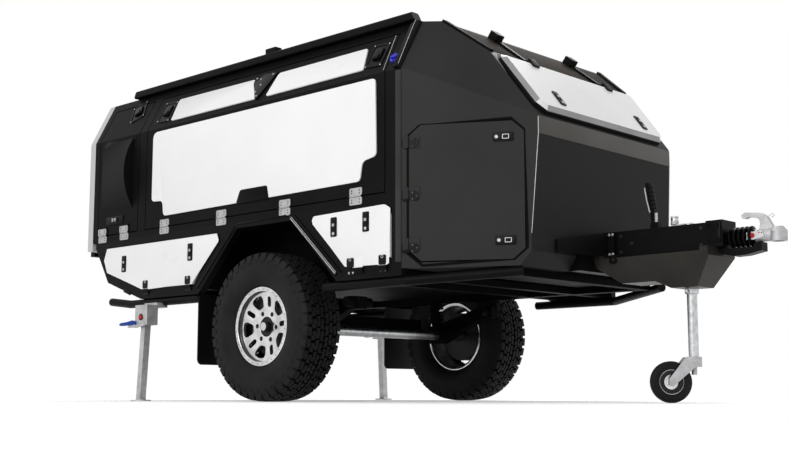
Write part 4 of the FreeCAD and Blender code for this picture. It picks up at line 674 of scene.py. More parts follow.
for side in SIDES:
    wall, slope = side_wall(side), upper_slope(side)
    skins = piece("skins_" + side, "main_hatch_" + side, white_skin, (draw_skins, wall, slope))
    main_leaves = piece("main_leaves_" + side, "main_hatch_" + side, hinge_alloy,
          (draw_leaves, wall, MAIN_HINGES, LEAF_HIGH, PROUD))
    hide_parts("hatch_skins_" + side)
    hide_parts("hatch_skins_" + side)
    fixed_leaves = piece("fixed_leaves_" + side, "trailer", hinge_alloy,
          (draw_leaves, wall, MAIN_HINGES + SMALL_HINGES, LEAF_LOW, PROUD))
    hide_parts("side_hinges")
    piece("small_leaves_" + side, "small_hatch_" + side, hinge_alloy,
          (draw_leaves, wall, SMALL_HINGES, LEAF_HIGH, OVER_BULGE))
    for name, body, places, span, low in (
            ("main_leaf_screws_", "main_hatch_", MAIN_HINGES, LEAF_HIGH, PROUD),
            ("small_leaf_screws_", "small_hatch_", SMALL_HINGES, LEAF_HIGH, OVER_BULGE),
            ("fixed_leaf_screws_", None, MAIN_HINGES + SMALL_HINGES, LEAF_LOW, PROUD)):
        piece(name + side, body + side if body else "trailer", cast_black,
              (draw_leaf_screws, wall, places, span, low))
    piece("leaf_knuckles_" + side, "trailer", hinge_alloy,
          (draw_knuckles, wall, MAIN_HINGES + SMALL_HINGES))
print("pieces so far:", len(made))

# %% [markdown]
# ## Latches
# Every door and lid is held by the same kind of latch: a slim black plate with a square
# push button and a round lock barrel. The lids carry them upright, the nose doors lying
# down, and the front hatch on its slope. One function draws the plate, another its bright
# parts, and a list says where each one goes, measured on its own panel.

# %% Push latches
def draw_latch_plate(bm, surface):
    add_prism(bm, surface, rounded(0.044, 0.1, 0.006), -0.001, 0.005, 0.0015)
    add_prism(bm, surface.turned(0, 0.012), rounded(0.026, 0.04, 0.003), 0.004, 0.007, 0.001)


def draw_latch_bright(bm, surface):
    add_prism(bm, surface.turned(0, 0.01), rounded(0.017, 0.015, 0.003), 0.0065, 0.0088, 0.001)
    add_lathe(bm, surface.turned(0, -0.034), [(0.0085, 0.004), (0.0085, 0.0075), (0.006, 0.0088),
              (0, 0.008)], 20)


def latch(name, body, surface):
    piece(name + "_plate", body, black_plastic, (draw_latch_plate, surface))
    piece(name + "_bright", body, hinge_alloy, (draw_latch_bright, surface))


DOOR_FACE, HATCH_FACE = 0.0035, 0.0345
LID_LATCHES = (("rear_lid_latch_a", "rear_locker_lid_", -1.672, 0.829),
               ("rear_lid_latch_b", "rear_locker_lid_", -1.012, 0.85),
               ("front_lid_latch_a", "front_locker_lid_", 0.179, 0.882),
               ("front_lid_latch_b", "front_locker_lid_", 0.408, 0.888))
for side in SIDES:
    wall = side_wall(side)
    for name, body, x, z in LID_LATCHES:
        latch(name + "_" + side, body + side, Surface(wall.at(x, z, SKIN), wall.along, wall.up, wall.out))
    door = nose_wall(side)
    for name, along, up in (("high", 0.498, 1.258), ("low", 0.505, 0.761)):
        place = Surface(door.at(along, up, DOOR_FACE), -door.up, door.along, door.out)
        title = "nose_latch_%s_%s" % (name, side)
        piece(title + "_plate", "nose_door_" + side, black_plastic, (draw_latch_plate, place))
        piece(title + "_bright", "nose_door_" + side, hinge_alloy,
              (add_band, place.turned(0, 0.013), rounded(0.017, 0.026, 0.002),
               rounded(0.023, 0.033, 0.003), 0.006, 0.0085),
              (add_lathe, place.turned(0, -0.032), [(0.009, 0.004), (0.009, 0.0075), (0.0065, 0.0088),
               (0, 0.008)], 20))
for name, y in (("right", -0.346), ("left", 0.4)):
    latch("front_hatch_latch_" + name, "front_hatch", Surface(hood.at(y, -0.315, HATCH_FACE), hood.along,
          hood.up, hood.out))
print("pieces so far:", len(made))

# %% [markdown]
# The lids' white sheets are routed too, so a thin skin with eased corners covers each lid.

# %% Locker lid skins
LID_FACE, LID_SKIN = 0.006, 0.0078
REAR_LID = [(-1.864, 0.912), (-0.77, 0.933), (-0.753, 0.893), (-0.99, 0.67), (-1.468, 0.658),
            (-1.846, 0.786), (-1.883, 0.863)]
FRONT_LID = [(0.024, 0.952), (0.535, 0.962), (0.574, 0.94), (0.564, 0.666), (0.26, 0.673), (0.012, 0.927)]
for side in SIDES:
    wall = side_wall(side)
    piece("rear_lid_skin_" + side, "rear_locker_lid_" + side, white_skin,
          (add_prism, wall, eased(REAR_LID, 0.01), LID_FACE, LID_SKIN, 0.0005))
    piece("front_lid_skin_" + side, "front_locker_lid_" + side, white_skin,
          (add_prism, wall, eased(FRONT_LID, 0.01), LID_FACE, LID_SKIN, 0.0005))
print("pieces so far:", len(made))

# %% [markdown]
# The locker lids drop down on two small black hinges each. Above the hinge a bright ring
# shows, and below it two bright screws hold it to the frame.

# %% Locker lid hinges
LID_HINGES = (("rear_locker_lid_", -1.445), ("rear_locker_lid_", -1.031), ("front_locker_lid_", 0.3),
              ("front_locker_lid_", 0.522))
for side in SIDES:
    wall = side_wall(side)
    for number, (body, x) in enumerate(LID_HINGES):
        pin = wall.turned(x, 0.706)
        name = "lid_hinge_%d_" % number
        piece(name + "leaf_" + side, body + side, black_plastic,
              (add_prism, wall.turned(x, 0.69), eased(rounded(0.05, 0.048, 0.008), 0.002), 0.006, 0.0105,
               0.0015))
        piece(name + "ring_" + side, body + side, plated,
              (add_lathe, pin, [(0.0085, 0.009), (0.0085, 0.0118), (0.0055, 0.0118), (0.0055, 0.009)], 20,
               True))
        piece(name + "foot_" + side, "trailer", black_plastic,
              (add_prism, wall.turned(x, 0.64), rounded(0.052, 0.026, 0.006), -0.001, 0.0035, 0.001))
        piece(name + "screws_" + side, "trailer", hinge_alloy,
              *[(add_screw, wall, x + u, 0.64, 0.0058, 0.0022, 0.0035) for u in (-0.014, 0.014)])
print("pieces so far:", len(made))

# %% [markdown]
# ## Hatch furniture
# The drop-down hatches close at their upper corners with square black latches sunk in
# trays, and a gloss wedge plate stands between the two upper white skins. On the cabin's
# front edge a black post runs up the slope, with a round blue knob beside it, and a bright
# seam marks the hatch's front edge.

# %% Corner latches, wedge plate, post and knob
def draw_tray(bm, surface, width, height):
    add_band(bm, surface, rounded(width * 0.84, height * 0.84, 0.016), rounded(width, height, 0.022), 0.0,
             0.005)
    add_prism(bm, surface, rounded(width * 0.82, height * 0.82, 0.014), -0.001, 0.002)
    add_prism(bm, surface.turned(0, 0.006), rounded(width * 0.52, height * 0.5, 0.01), 0.001, 0.01, 0.002)
    add_prism(bm, surface.turned(0, -height * 0.1), rounded(width * 0.36, height * 0.2, 0.006), 0.009,
              0.016, 0.003)


def draw_tray_screws(bm, surface, width, height):
    for u in (-1, 1):
        for v in (-1, 1):
            add_screw(bm, surface, u * width * 0.45, v * height * 0.45, 0.0044, 0.002, 0.005)


POST = [(0.604, -0.006), (0.641, -0.006), (0.641, 0.292), (0.618, 0.292)]
WEDGE = [(-0.566, 0.212), (-0.372, 0.202), (-0.392, 0.16), (-0.463, 0.036), (-0.476, 0.03),
         (-0.548, 0.15)]
WEDGE_BOLTS = ((-0.54, 0.19), (-0.5, 0.176), (-0.405, 0.192), (-0.478, 0.13), (-0.5, 0.086),
               (-0.474, 0.052))
for side in SIDES:
    wall, slope = side_wall(side), upper_slope(side)
    for name, body, x, up, width, height, turn in (
            ("main_latch_rear", "main_hatch_", -1.345, 0.118, 0.124, 0.15, -4),
            ("main_latch_front", "main_hatch_", 0.428, 0.126, 0.118, 0.15, -4),
            ("small_latch", "small_hatch_", -1.69, 0.185, 0.13, 0.13, 18)):
        place = slope.turned(x, up, turn)
        piece("%s_%s" % (name, side), body + side, gloss_black,
              (draw_tray, place, width, height), slot="dark_plastic")
        piece("%s_screws_%s" % (name, side), body + side, hinge_alloy,
              (draw_tray_screws, place, width, height))
    piece("wedge_plate_" + side, "main_hatch_" + side, gloss_black,
          (add_prism, slope, eased(WEDGE, 0.006), 0.0, 0.01, 0.0015))
    piece("wedge_bolts_" + side, "main_hatch_" + side, hinge_alloy,
          *[(add_bolt, slope, u, v, 0.0045, 0.004, 0.01) for u, v in WEDGE_BOLTS])
    piece("front_post_" + side, "trailer", gloss_black,
          (add_prism, slope, eased(POST, 0.004), -0.001, 0.026, 0.0025))
    piece("post_edge_" + side, "trailer", hinge_alloy,
          (add_tube, [slope.at(0.6395, up, 0.0262) for up in (0.004, 0.15, 0.286)], 0.0016, 8))
    piece("hatch_seam_" + side, "main_hatch_" + side, hinge_alloy,
          (add_tube, [slope.at(0.514 - 0.004 * k, 0.012 + 0.113 * k, 0.0012) for k in range(3)], 0.002,
           8))
    knob = slope.turned(0.57, 0.073)
    piece("blue_knob_" + side, "trailer", blue_plastic,
          (add_lathe, knob, [(0.0275, -0.001), (0.0275, 0.01), (0.024, 0.015), (0.02, 0.013), (0, 0.013)],
           32))
    piece("blue_knob_bar_" + side, "trailer", blue_plastic,
          (add_prism, knob, rounded(0.04, 0.012, 0.005), 0.012, 0.02, 0.002))
print("pieces so far:", len(made))

# %% [markdown]
# A black tab lies in the notch of the white skin. The small hatch has a dark strip over
# its bulge and a butterfly catch near its lower edge, and a grey strip covers the cabin's
# front corner from the sill to the slope.

# %% Tab, small hatch strip and catch, corner strip
TAB = [(-0.606, 1.086), (-0.572, 1.16), (-0.346, 1.16), (-0.33, 1.086)]
CORNER_STRIP = [(0.604, 0.672), (0.64, 0.672), (0.64, 1.622), (0.604, 1.622)]
WING = [(-0.022, -0.003), (0.022, -0.007), (0.022, 0.007), (-0.022, 0.003)]
TOP_STRIP = [(-1.93, 1.585), (-1.905, 1.622), (-1.575, 1.622), (-1.6, 1.585)]
for side in SIDES:
    wall = side_wall(side)
    piece("blank_tab_" + side, "main_hatch_" + side, gloss_black,
          (add_prism, wall, eased(TAB, 0.014), 0.0004, 0.0095, 0.0012), slot="dark_plastic")
    piece("small_strip_" + side, "small_hatch_" + side, frame_black,
          (add_prism, wall, eased(TOP_STRIP, 0.006), -0.0005, 0.003, 0.001))
    catch = wall.turned(-1.796, 1.112)
    piece("small_catch_" + side, "small_hatch_" + side, black_plastic,
          (add_prism, catch, rounded(0.176, 0.05, 0.008), -0.001, 0.005, 0.0012),
          (add_prism, catch, rounded(0.08, 0.03, 0.006), 0.004, 0.01, 0.002))
    piece("small_catch_wings_" + side, "small_hatch_" + side, hinge_alloy,
          *[(add_prism, catch.turned(0, 0, turn), WING, 0.0095, 0.0115, 0.0006) for turn in (20, 160)])
    piece("corner_strip_" + side, "trailer", strip_grey,
          (add_prism, wall, CORNER_STRIP, -0.0005, 0.0035, 0.001))
print("pieces so far:", len(made))

# %% [markdown]
# ## Nose doors
# A thick black seal runs round each nose door, and the door swings on three black
# butterfly hinges: one wing on the door, one on the body, and a knuckle between. A thin
# bright edge runs down the nose's front corner.

# %% Door seals, butterfly hinges and corner edge
DOOR = [(0.094, 1.325), (0.533, 1.341), (0.589, 1.289), (0.601, 0.781), (0.6, 0.729), (0.538, 0.679),
        (0.106, 0.657), (0.038, 0.712), (0.039, 1.269)]
for side in SIDES:
    door = nose_wall(side)
    piece("door_seal_" + side, "trailer", deep_black,
          (add_band, door, grown(DOOR, 0.0005), grown(DOOR, 0.0125), PROUD, 0.003), slot="dark_plastic")
    for number, z in enumerate((1.249, 0.989, 0.736)):
        piece("nose_hinge_door_%d_%s" % (number, side), "nose_door_" + side, black_plastic,
              (add_prism, door.turned(0.066, z), eased(rounded(0.04, 0.046, 0.016), 0.004), 0.007, 0.0115,
               0.002))
        piece("nose_hinge_body_%d_%s" % (number, side), "trailer", black_plastic,
              (add_prism, door.turned(0.0175, z), rounded(0.03, 0.05, 0.01), -0.001, 0.0065, 0.002),
              (add_tube, [door.at(0.036, z - 0.024, 0.01), door.at(0.036, z + 0.024, 0.01)], 0.0042, 12))
        piece("nose_hinge_screws_%d_%s" % (number, side), "nose_door_" + side, dark_alloy,
              *[(add_screw, door, 0.066 + u, z + v, 0.004, 0.0014, 0.0115)
                for u, v in ((-0.01, -0.015), (-0.01, 0.015), (0.012, 0.0))], slot="galvanised")
    s = SIDES[side]
    piece("nose_edge_" + side, "trailer", hinge_alloy,
          (add_tube, [(1.2205, s * 0.5945, 1.35), (1.2205, s * 0.5945, 1.27),
           (1.1868, s * 0.6135, 0.792)], 0.0018, 8))
print("pieces so far:", len(made))

# %% [markdown]
# ## Front hatch and brow
# The front hatch is a white shell on a dark rim. Its edges are bevelled at the sides and
# the bottom, where thin grey plates paint the shade on facets that face away from the light,
# and its corners are cut. Above it lies the brow's brown plate between black borders, and
# below it a warm grey band; the brown and the warm grey are painted reflection.

# %% Front hatch shell, rim, facets, brow and band
HATCH = [(-0.582, -0.051), (-0.558, -0.026), (0.558, -0.026), (0.582, -0.051), (0.567, -0.375),
         (0.515, -0.425), (-0.515, -0.425), (-0.567, -0.375)]
RIM_TOP = 0.017
SHELL_TOP = 0.034
CREST = grown(HATCH, -0.026)
BROW = [(-0.655, -0.022), (0.655, -0.022), (0.572, -0.276), (-0.572, -0.276)]
BAND = [(-0.592, 1.269), (0.592, 1.269), (0.592, 1.356), (-0.592, 1.356)]


def draw_facets(bm):
    """Thin grey plates of painted shade on the two bevelled sides and the bottom."""
    foot, crown = grown(HATCH, -0.0005), grown(HATCH, -0.0255)
    for k in (3, 5, 7):
        n = (k + 1) % len(HATCH)
        corners = [hood.at(*foot[k], RIM_TOP + 0.0006), hood.at(*foot[n], RIM_TOP + 0.0006),
                   hood.at(*crown[n], SHELL_TOP + 0.0002), hood.at(*crown[k], SHELL_TOP + 0.0002)]
        top = [bm.verts.new(p) for p in corners]
        under = [bm.verts.new(p - hood.out * 0.002) for p in corners]
        bm.faces.new(top)
        bm.faces.new(under)
        bridge(bm, top, under)


shell = piece("hatch_shell", "front_hatch", white_skin,
      (add_prism, hood, grown(HATCH, -0.001), RIM_TOP, SHELL_TOP, 0, CREST))
rim = piece("hatch_rim", "front_hatch", frame_black,
      (add_prism, hood, HATCH, 0.0006, RIM_TOP + 0.0002, 0, grown(HATCH, -0.002)))
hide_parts("front_hatch")
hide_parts("front_hatch")
# The grey bevel plates are painted shade, darker where the facets face away from the light.
piece("hatch_shaded_facets", "front_hatch", facet_shade_grey, (draw_facets,))
for side, s in SIDES.items():
    piece("hatch_lug_" + side, "front_hatch", frame_black,
          (add_prism, hood.turned(s * 0.332, -0.05), rounded(0.052, 0.056, 0.004), 0.012, 0.044, 0.003))
brow = Surface((0.712, 0, 1.9), (0, 1, 0), (-0.7877, 0, 0.616), (0.616, 0, 0.7877))
# The brow's brown plate is painted reflection, the warm lighter tone its upper facet shows.
piece("brow_reflection_plate", "trailer", brow_reflection_brown, (add_prism, brow, BROW, 0.0, 0.002, 0.0008))
piece("brow_rail", "trailer", deep_black,
      *[(add_prism, brow, [(hand * 0.704, -0.002), (hand * 0.668, -0.002), (hand * 0.58, -0.292),
        (hand * 0.613, -0.292)], 0.0, 0.012, 0.002) for hand in (-1, 1)])
# The hood's warm grey corner plates are painted reflection.
piece("hood_corners", "trailer", warm_grey_reflection,
      *[(add_prism, hood, [(hand * 0.612, -0.006), (hand * 0.563, -0.006), (hand * 0.586, -0.046),
        (hand * 0.605, -0.16)], 0.0, 0.0015, 0.0005) for hand in (-1, 1)])
# The warm grey band on the nose front is painted reflection.
band = Surface((1.2201, 0, 0), (0, 1, 0), (0, 0, 1), (1, 0, 0))
piece("nose_reflection_band", "trailer", warm_grey_reflection, (add_prism, band, BAND, 0.0, 0.0015, 0.0005))
print("pieces so far:", len(made))

# %% [markdown]
# ## Lower frame trim
# A ridged strip guards the front slope of the wheel arch and smooth ones the other edges.
# Behind the rear lockers the frame has a narrow slot, drawn as a flat gloss black plate that
# paints the shade inside it. The lamps stand on the rear wall beside the tailgate, clear of
# the bumper.

# %% Arch strips, frame slot and lamps
LENS_LEVELS = (0.006, 0.018)


def draw_strip(bm, wall, start, end, width, height):
    """A flat bar between two points of the wall."""
    run = Vector((end[0] - start[0], end[1] - start[1]))
    turn = math.degrees(math.atan2(run.y, run.x))
    add_prism(bm, wall.turned(*start, turn), [(0, -width / 2), (run.length, -width / 2),
              (run.length, width / 2), (0, width / 2)], 0.0, height, 0.002)


def draw_ribs(bm, wall, start, end, count):
    """A row of small round ribs along a line of the wall."""
    for k in range(count):
        t = (k + 0.5) / count
        u, v = (a + (b - a) * t for a, b in zip(start, end))
        add_lathe(bm, wall.turned(u, v), [(0.0042, 0.0045), (0.0036, 0.0072), (0.0, 0.0078)], 8)


for side in SIDES:
    wall = side_wall(side)
    piece("arch_strip_front_" + side, "trailer", gloss_black,
          (draw_strip, wall, (-0.16, 0.966), (0.192, 0.64), 0.018, 0.0055),
          (draw_strip, wall, (-0.128, 0.972), (0.224, 0.65), 0.009, 0.0065))
    piece("arch_ribs_" + side, "trailer", hinge_alloy,
          (draw_ribs, wall, (-0.156, 0.962), (0.188, 0.644), 64))
    piece("arch_edge_" + side, "trailer", cast_grey,
          (add_tube, [wall.at(-0.15, 0.969, 0.0058), wall.at(0.194, 0.651, 0.0058)], 0.0016, 8))
    piece("arch_strip_rear_" + side, "trailer", gloss_black,
          (draw_strip, wall, (-0.952, 0.64), (-0.622, 0.958), 0.012, 0.005),
          (draw_strip, wall, (-0.595, 0.974), (-0.19, 0.98), 0.01, 0.005))
    # The slot is a flat black plate: painted shade where the slot's opening is.
    piece("frame_slot_shade_" + side, "trailer", gloss_black,
          (add_prism, wall.turned(-1.64, 0.656, -20), rounded(0.084, 0.022, 0.008), 0.0003, 0.002,
           0.0006))
    s = SIDES[side]
    lamp = Surface((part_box("rear_wall")[0][0], s * 0.815, 1.26), (0, -1, 0), (0, 0, 1), (-1, 0, 0))
    piece("lamp_frame_" + side, "trailer", black_plastic,
          (add_prism, lamp, rounded(0.092, 0.264, 0.014), -0.001, 0.008, 0.002))
    piece("tail_lamp_" + side, "trailer", red_plastic,
          (add_prism, lamp.turned(0, -0.044), rounded(0.076, 0.156, 0.01), *LENS_LEVELS, 0.003))
    piece("turn_lamp_" + side, "trailer", amber_plastic,
          (add_prism, lamp.turned(0, 0.082), rounded(0.076, 0.08, 0.01), *LENS_LEVELS, 0.003))
print("pieces so far:", len(made))

# %% [markdown]
# ## Drawbar and coupling
# The drawbar's flange is bolted on, and a towing eye hangs beside the keel. The hand brake
# has a pale foot and a rod beside its grip, the jockey's crank ends in a pale knob, and the
# coupling has a side plate with a red wear disc, with a wire hook on its handle.

# %% Drawbar bolts, brake, knob and coupling
BEAM_BOLTS = ((1.32, 0.815), (1.32, 0.735), (1.38, 0.775), (1.76, 0.815), (1.76, 0.735))
SIDE_PLATE = [(1.958, 0.746), (1.966, 0.776), (2.052, 0.782), (2.062, 0.752), (2.01, 0.742)]
WEAR_DISC = [(0.0105, 0.004), (0.0105, 0.0085), (0.008, 0.01), (0, 0.01)]
CRANK_KNOB = [(0.0195, 0.0), (0.0198, 0.016), (0.016, 0.022), (0.015, 0.026), (0.0188, 0.031),
              (0.019, 0.038), (0.015, 0.0415), (0.0, 0.0415)]
WIRE_HOOK = [(2.062, 0, 0.833), (2.068, 0, 0.843), (2.076, 0, 0.852), (2.086, 0, 0.8565),
             (2.095, 0, 0.857), (2.1, 0, 0.853), (2.097, 0, 0.847), (2.09, 0, 0.843), (2.084, 0, 0.84)]
UPRIGHT = ((1, 0, 0), (0, 1, 0), (0, 0, 1))
for side in SIDES:
    flange = side_wall(side, 0.082)
    piece("flange_bolts_" + side, "trailer", hinge_alloy,
          *[(add_bolt, flange, x, z, 0.0048, 0.005) for x in (1.266, 1.285) for z in (0.727, 0.825)])
    gusset = side_wall(side, 0.0605)
    piece("beam_bolts_" + side, "trailer", cast_black,
          *[(add_bolt, gusset, x, z, 0.006, 0.006) for x, z in BEAM_BOLTS])
    cheek = side_wall(side, 0.066)
    piece("housing_plate_" + side, "trailer", gloss_black,
          (add_prism, cheek.turned(1.829, 0.79), rounded(0.07, 0.096, 0.006), -0.001, 0.005, 0.0015),
          *[(add_bolt, cheek, x, z, 0.0052, 0.005, 0.005) for x in (1.806, 1.852)
            for z in (0.756, 0.826)])
    eye = side_wall(side, 0.131, 1.316, 0.692)
    piece("towing_eye_" + side, "trailer", frame_black,
          (add_band, eye, rounded(0.018, 0.018, 0.0088, 6), rounded(0.042, 0.036, 0.015, 6), -0.012,
           0.002),
          (add_prism, eye.turned(0, 0.018), rounded(0.046, 0.012, 0.004), -0.012, 0.003, 0.001))
    plate = side_wall(side, 0.0285)
    piece("coupling_plate_" + side, "trailer", cast_grey,
          (add_prism, plate, eased(SIDE_PLATE, 0.006), -0.006, 0.005, 0.0015))
    piece("wear_disc_" + side, "trailer", red_plastic,
          (add_lathe, plate.turned(2.004, 0.762), WEAR_DISC, 24),
          (add_prism, plate.turned(2.036, 0.772, 30), rounded(0.01, 0.004, 0.0015), 0.004, 0.006),
          (add_prism, plate.turned(2.049, 0.771, 30), rounded(0.007, 0.004, 0.0015), 0.004, 0.006))

lever_foot = Surface((1.4935, -0.0125, 0.8745), *UPRIGHT)
piece("brake_foot", "trailer", cast_grey,
      (add_prism, lever_foot, rounded(0.013, 0.012, 0.003), 0.0, 0.046, 0.002))
piece("brake_rod", "trailer", cast_grey,
      (add_tube, [(1.46, -0.0145, 0.925), (1.4445, -0.0145, 0.985), (1.4335, -0.0145, 1.05)], 0.0036, 10))
piece("brake_grip", "trailer", soft_rubber,
      *[(add_prism, Surface((1.4745 - 0.152 * (z - 0.93), 0, z), *UPRIGHT),
         rounded(0.0315 - 0.05 * (z - 0.93), 0.0275, 0.006), 0.0, 0.016, 0.003)
        for z in (0.945, 0.966, 0.987, 1.008, 1.029, 1.05)])
knob_foot = Surface((1.587, 0, 0.8535), *UPRIGHT)
piece("crank_knob", "trailer", cast_grey, (add_lathe, knob_foot, CRANK_KNOB, 28))
piece("handle_wire", "trailer", plated, (add_tube, WIRE_HOOK, 0.0021, 10))
collar = Surface((1.667, 0, 0.514), *UPRIGHT)
piece("jockey_collar", "trailer", plated,
      (add_lathe, collar, [(0.0302, 0.0), (0.033, 0.002), (0.033, 0.022), (0.0302, 0.024)], 32, True),
      (add_tube, [(1.667, -0.03, 0.526), (1.667, -0.048, 0.526)], 0.005, 10),
      (add_tube, [(1.667, -0.045, 0.526), (1.667, -0.051, 0.526)], 0.0085, 6))
print("pieces so far:", len(made))

# %% [markdown]
# ## Jockey hub, stone guard and tail
# The jockey wheel's disc is dark outside its hub. A black stone guard hangs behind the axle
# tube. The tailgate has a slim handle with a lock beside it.

# %% Jockey hub ring, stone guard, tailgate fittings
turn = math.radians(43)
jockey_hub = Surface((1.585, -0.0764, 0.098), (math.cos(turn), math.sin(turn), 0), (0, 0, 1),
                     (math.sin(turn), -math.cos(turn), 0))
piece("jockey_hub_ring", "jockey_wheel", cast_black,
      (add_lathe, jockey_hub, [(0.035, 0.0183), (0.035, 0.0192), (0.056, 0.0192), (0.056, 0.0183)], 40,
       True), slot="dark_plastic")
guard = Surface((-0.52, 0, 0), (0, 1, 0), (0, 0, 1), (-1, 0, 0))
piece("stone_guard", "trailer", deep_black,
      (add_prism, guard, [(-0.5, 0.405), (0.5, 0.405), (0.5, 0.5), (-0.5, 0.5)], 0.0, 0.004, 0.001))
tail = Surface((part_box("tailgate")[0][0], 0, 0), (0, -1, 0), (0, 0, 1), (-1, 0, 0))
piece("tail_handle", "tailgate", black_plastic,
      (add_prism, tail.turned(0, 1.19), rounded(0.18, 0.08, 0.012), 0.0, 0.006, 0.002),
      (add_prism, tail.turned(0, 1.196), rounded(0.12, 0.026, 0.008), 0.005, 0.018, 0.004))
piece("tail_handle_lock", "tailgate", hinge_alloy,
      (add_lathe, tail.turned(0.062, 1.168), [(0.01, 0.005), (0.01, 0.009), (0.007, 0.0105), (0, 0.01)],
       24))
print("pieces so far:", len(made))

# %% [markdown]
# ## Legs and suspension
# Each corner leg's head has a red lock button and a blue lever on a metal foot, on its
# outer wall. Coil springs stand round the dampers.

# %% Leg buttons and levers, coil springs
SPRING_STEPS = 14
LEVER = [(-1.552, 0.446), (-1.54, 0.458), (-1.47, 0.462), (-1.42, 0.47), (-1.385, 0.462),
         (-1.385, 0.446), (-1.42, 0.442), (-1.53, 0.44)]
LEVER_FOOT = [(-1.468, 0.428), (-1.46, 0.441), (-1.385, 0.441), (-1.3, 0.452), (-1.29, 0.444),
              (-1.3, 0.436), (-1.38, 0.424)]


def draw_spring(bm, x, y, low, high, radius, wire, turns):
    """A wire wound round an upright line."""
    count = turns * SPRING_STEPS
    points = []
    for k in range(count + 1):
        a = math.tau * k / SPRING_STEPS
        z = low + (high - low) * k / count
        points.append((x + radius * math.cos(a), y + radius * math.sin(a), z))
    add_tube(bm, points, wire, 8)


for side in SIDES:
    outer = side_wall(side, 1.029)
    button = outer.turned(-1.341, 0.486)
    piece("leg_button_" + side, "trailer", red_plastic,
          (add_lathe, button, [(0.0135, -0.001), (0.0135, 0.005), (0.01, 0.0075), (0, 0.0075)], 24))
    piece("leg_button_ring_" + side, "trailer", black_plastic,
          (add_lathe, button, [(0.014, -0.001), (0.014, 0.004), (0.019, 0.004), (0.019, -0.001)], 24,
           True))
    piece("leg_lever_" + side, "trailer", blue_paint,
          (add_prism, outer, eased(LEVER, 0.006), -0.003, 0.0095, 0.003))
    piece("leg_lever_foot_" + side, "trailer", cast_grey,
          (add_prism, outer, eased(LEVER_FOOT, 0.004), -0.001, 0.006, 0.0015),
          (add_bolt, outer, -1.392, 0.434, 0.006, 0.006, 0.005))
    piece("spring_" + side, "trailer", frame_black,
          (draw_spring, -0.448, SIDES[side] * 0.56, 0.474, 0.594, 0.043, 0.0065, 5))
print("pieces so far:", len(made))

# %% [markdown]
# ## The studio
# The photograph was taken from near the floor with a long lens, against white. A camera
# was fitted to it from the wheel's size and the trailer's straight edges. The world is
# white to the camera and to reflections, and a softer white as a light, so the paint keeps
# its depth. Two large soft lamps do the modelling.

# %% Camera
CAMERA_SPOT = (4.567, -5.133, 0.048)
YAW, PITCH = math.radians(133.37), math.radians(7.62)
FOCAL_LENGTH = 55.08


def added(name, data, spot, gaze):
    """A camera or a lamp in the scene, at a spot and looking along a direction."""
    obj = bpy.data.objects.new(name, data)
    bpy.context.scene.collection.objects.link(obj)
    obj.location = spot
    obj.rotation_euler = gaze.to_track_quat("-Z", "Y").to_euler()
    return obj


camera_data = bpy.data.cameras.new("Camera")
camera_data.lens = FOCAL_LENGTH
camera_data.sensor_width = 36
camera_data.clip_end = 200
gaze = Vector((math.cos(YAW) * math.cos(PITCH), math.sin(YAW) * math.cos(PITCH), math.sin(PITCH)))
bpy.context.scene.camera = added("Camera", camera_data, CAMERA_SPOT, gaze)
print("camera height:", CAMERA_SPOT[2], "lens:", FOCAL_LENGTH)

# %% World and lamps
WORLD_LIGHT = 0.55
WHITE = (1, 1, 1, 1)


def combined(tree, operation, one, two):
    """The output of a math node that combines two values."""
    result = wired(tree, "Math", {0: one, 1: two})
    result.operation = operation
    return result.outputs[0]


world = bpy.data.worlds.new("Studio")
bpy.context.scene.world = world
world.use_nodes = True
tree = world.node_tree
tree.nodes.clear()
rays = wired(tree, "LightPath", {}).outputs
shown = combined(tree, "MAXIMUM", rays["Is Camera Ray"], rays["Is Glossy Ray"])
shown = combined(tree, "MAXIMUM", shown, rays["Is Transmission Ray"])
lit = wired(tree, "Background", {"Color": WHITE, "Strength": WORLD_LIGHT})
plain = wired(tree, "Background", {"Color": WHITE, "Strength": 1.0})
mix = wired(tree, "MixShader", {0: shown, 1: lit.outputs[0], 2: plain.outputs[0]})
wired(tree, "OutputWorld", {"Surface": mix.outputs[0]})


def soft_lamp(name, spot, target, size, power):
    data = bpy.data.lights.new(name, "AREA")
    data.shape = "RECTANGLE"
    data.size, data.size_y = size
    data.energy = power
    added(name, data, spot, Vector(target) - Vector(spot))


soft_lamp("TopLamp", (-1.5, 2.2, 6.0), (0, 0, 0), (5, 4), 260)
soft_lamp("SideLamp", (1.5, -7.5, 3.5), (0, 0, 0.9), (5, 3), 215)
bpy.context.scene.view_settings.view_transform = "Standard"
print("world and lamps made")

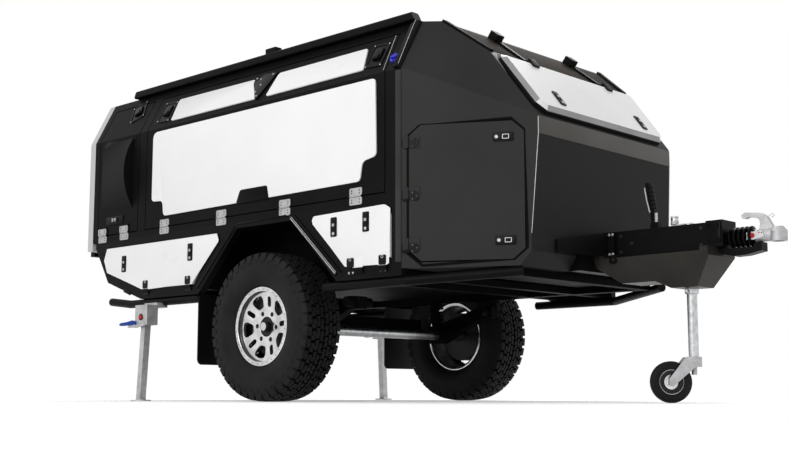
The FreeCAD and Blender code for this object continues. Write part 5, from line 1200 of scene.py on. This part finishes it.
# %% [markdown]
# ## The floor
# The floor is white and fades into the white background. Near the trailer it is a diffuse
# surface with a little light of its own, so that bare floor reads as white and only the
# shadow darkens it. Further out it turns into plain white light, by distance from the
# trailer, so no horizon line shows.

# %% Floor
FLOOR_REACH = 60
FLOOR_LIFT = 0.35
FADE_FROM, FADE_TO = 0.95, 2.2
floor_mesh = bpy.data.meshes.new("studio_floor")
corners = [(FLOOR_REACH * x, FLOOR_REACH * y, 0) for x, y in ((-1, -1), (1, -1), (1, 1), (-1, 1))]
floor_mesh.from_pydata(corners, [], [(0, 1, 2, 3)])
floor = bpy.data.objects.new("studio_floor", floor_mesh)
bpy.context.scene.collection.objects.link(floor)
paper = bpy.data.materials.new("StudioPaper")
paper.use_nodes = True
tree = paper.node_tree
sheet = feed(tree, tree.nodes["Principled BSDF"], {
    "Base Color": (0.86, 0.86, 0.86, 1), "Roughness": 0.9, "Specular IOR Level": 0.05})
glow = wired(tree, "Emission", {"Color": WHITE})
lift = wired(tree, "Emission", {"Color": WHITE, "Strength": FLOOR_LIFT})
dark = wired(tree, "Emission", {"Strength": 0.0})
rays = wired(tree, "LightPath", {}).outputs
seen = combined(tree, "MAXIMUM", rays["Is Camera Ray"], rays["Is Glossy Ray"])
lift_seen = wired(tree, "MixShader", {0: seen, 1: dark.outputs[0], 2: lift.outputs[0]})
near = wired(tree, "AddShader", {0: sheet.outputs[0], 1: lift_seen.outputs[0]})
where = wired(tree, "TexCoord", {}).outputs["Object"]
oval = wired(tree, "Mapping", {"Location": (0.1, 0, 0), "Scale": (0.45, 0.62, 1), "Vector": where})
away = wired(tree, "VectorMath", {0: oval.outputs["Vector"]})
away.operation = "LENGTH"
fade = wired(tree, "MapRange", {"From Min": FADE_FROM, "From Max": FADE_TO, "Value": away.outputs["Value"]})
fade.interpolation_type = "SMOOTHSTEP"
white_part = combined(tree, "MULTIPLY", fade.outputs["Result"], seen)
blend = wired(tree, "MixShader", {0: white_part, 1: near.outputs[0], 2: glow.outputs[0]})
feed(tree, tree.nodes["Material Output"], {"Surface": blend.outputs[0]})
floor_mesh.materials.append(paper)
print("floor reaches", FLOOR_REACH, "m")
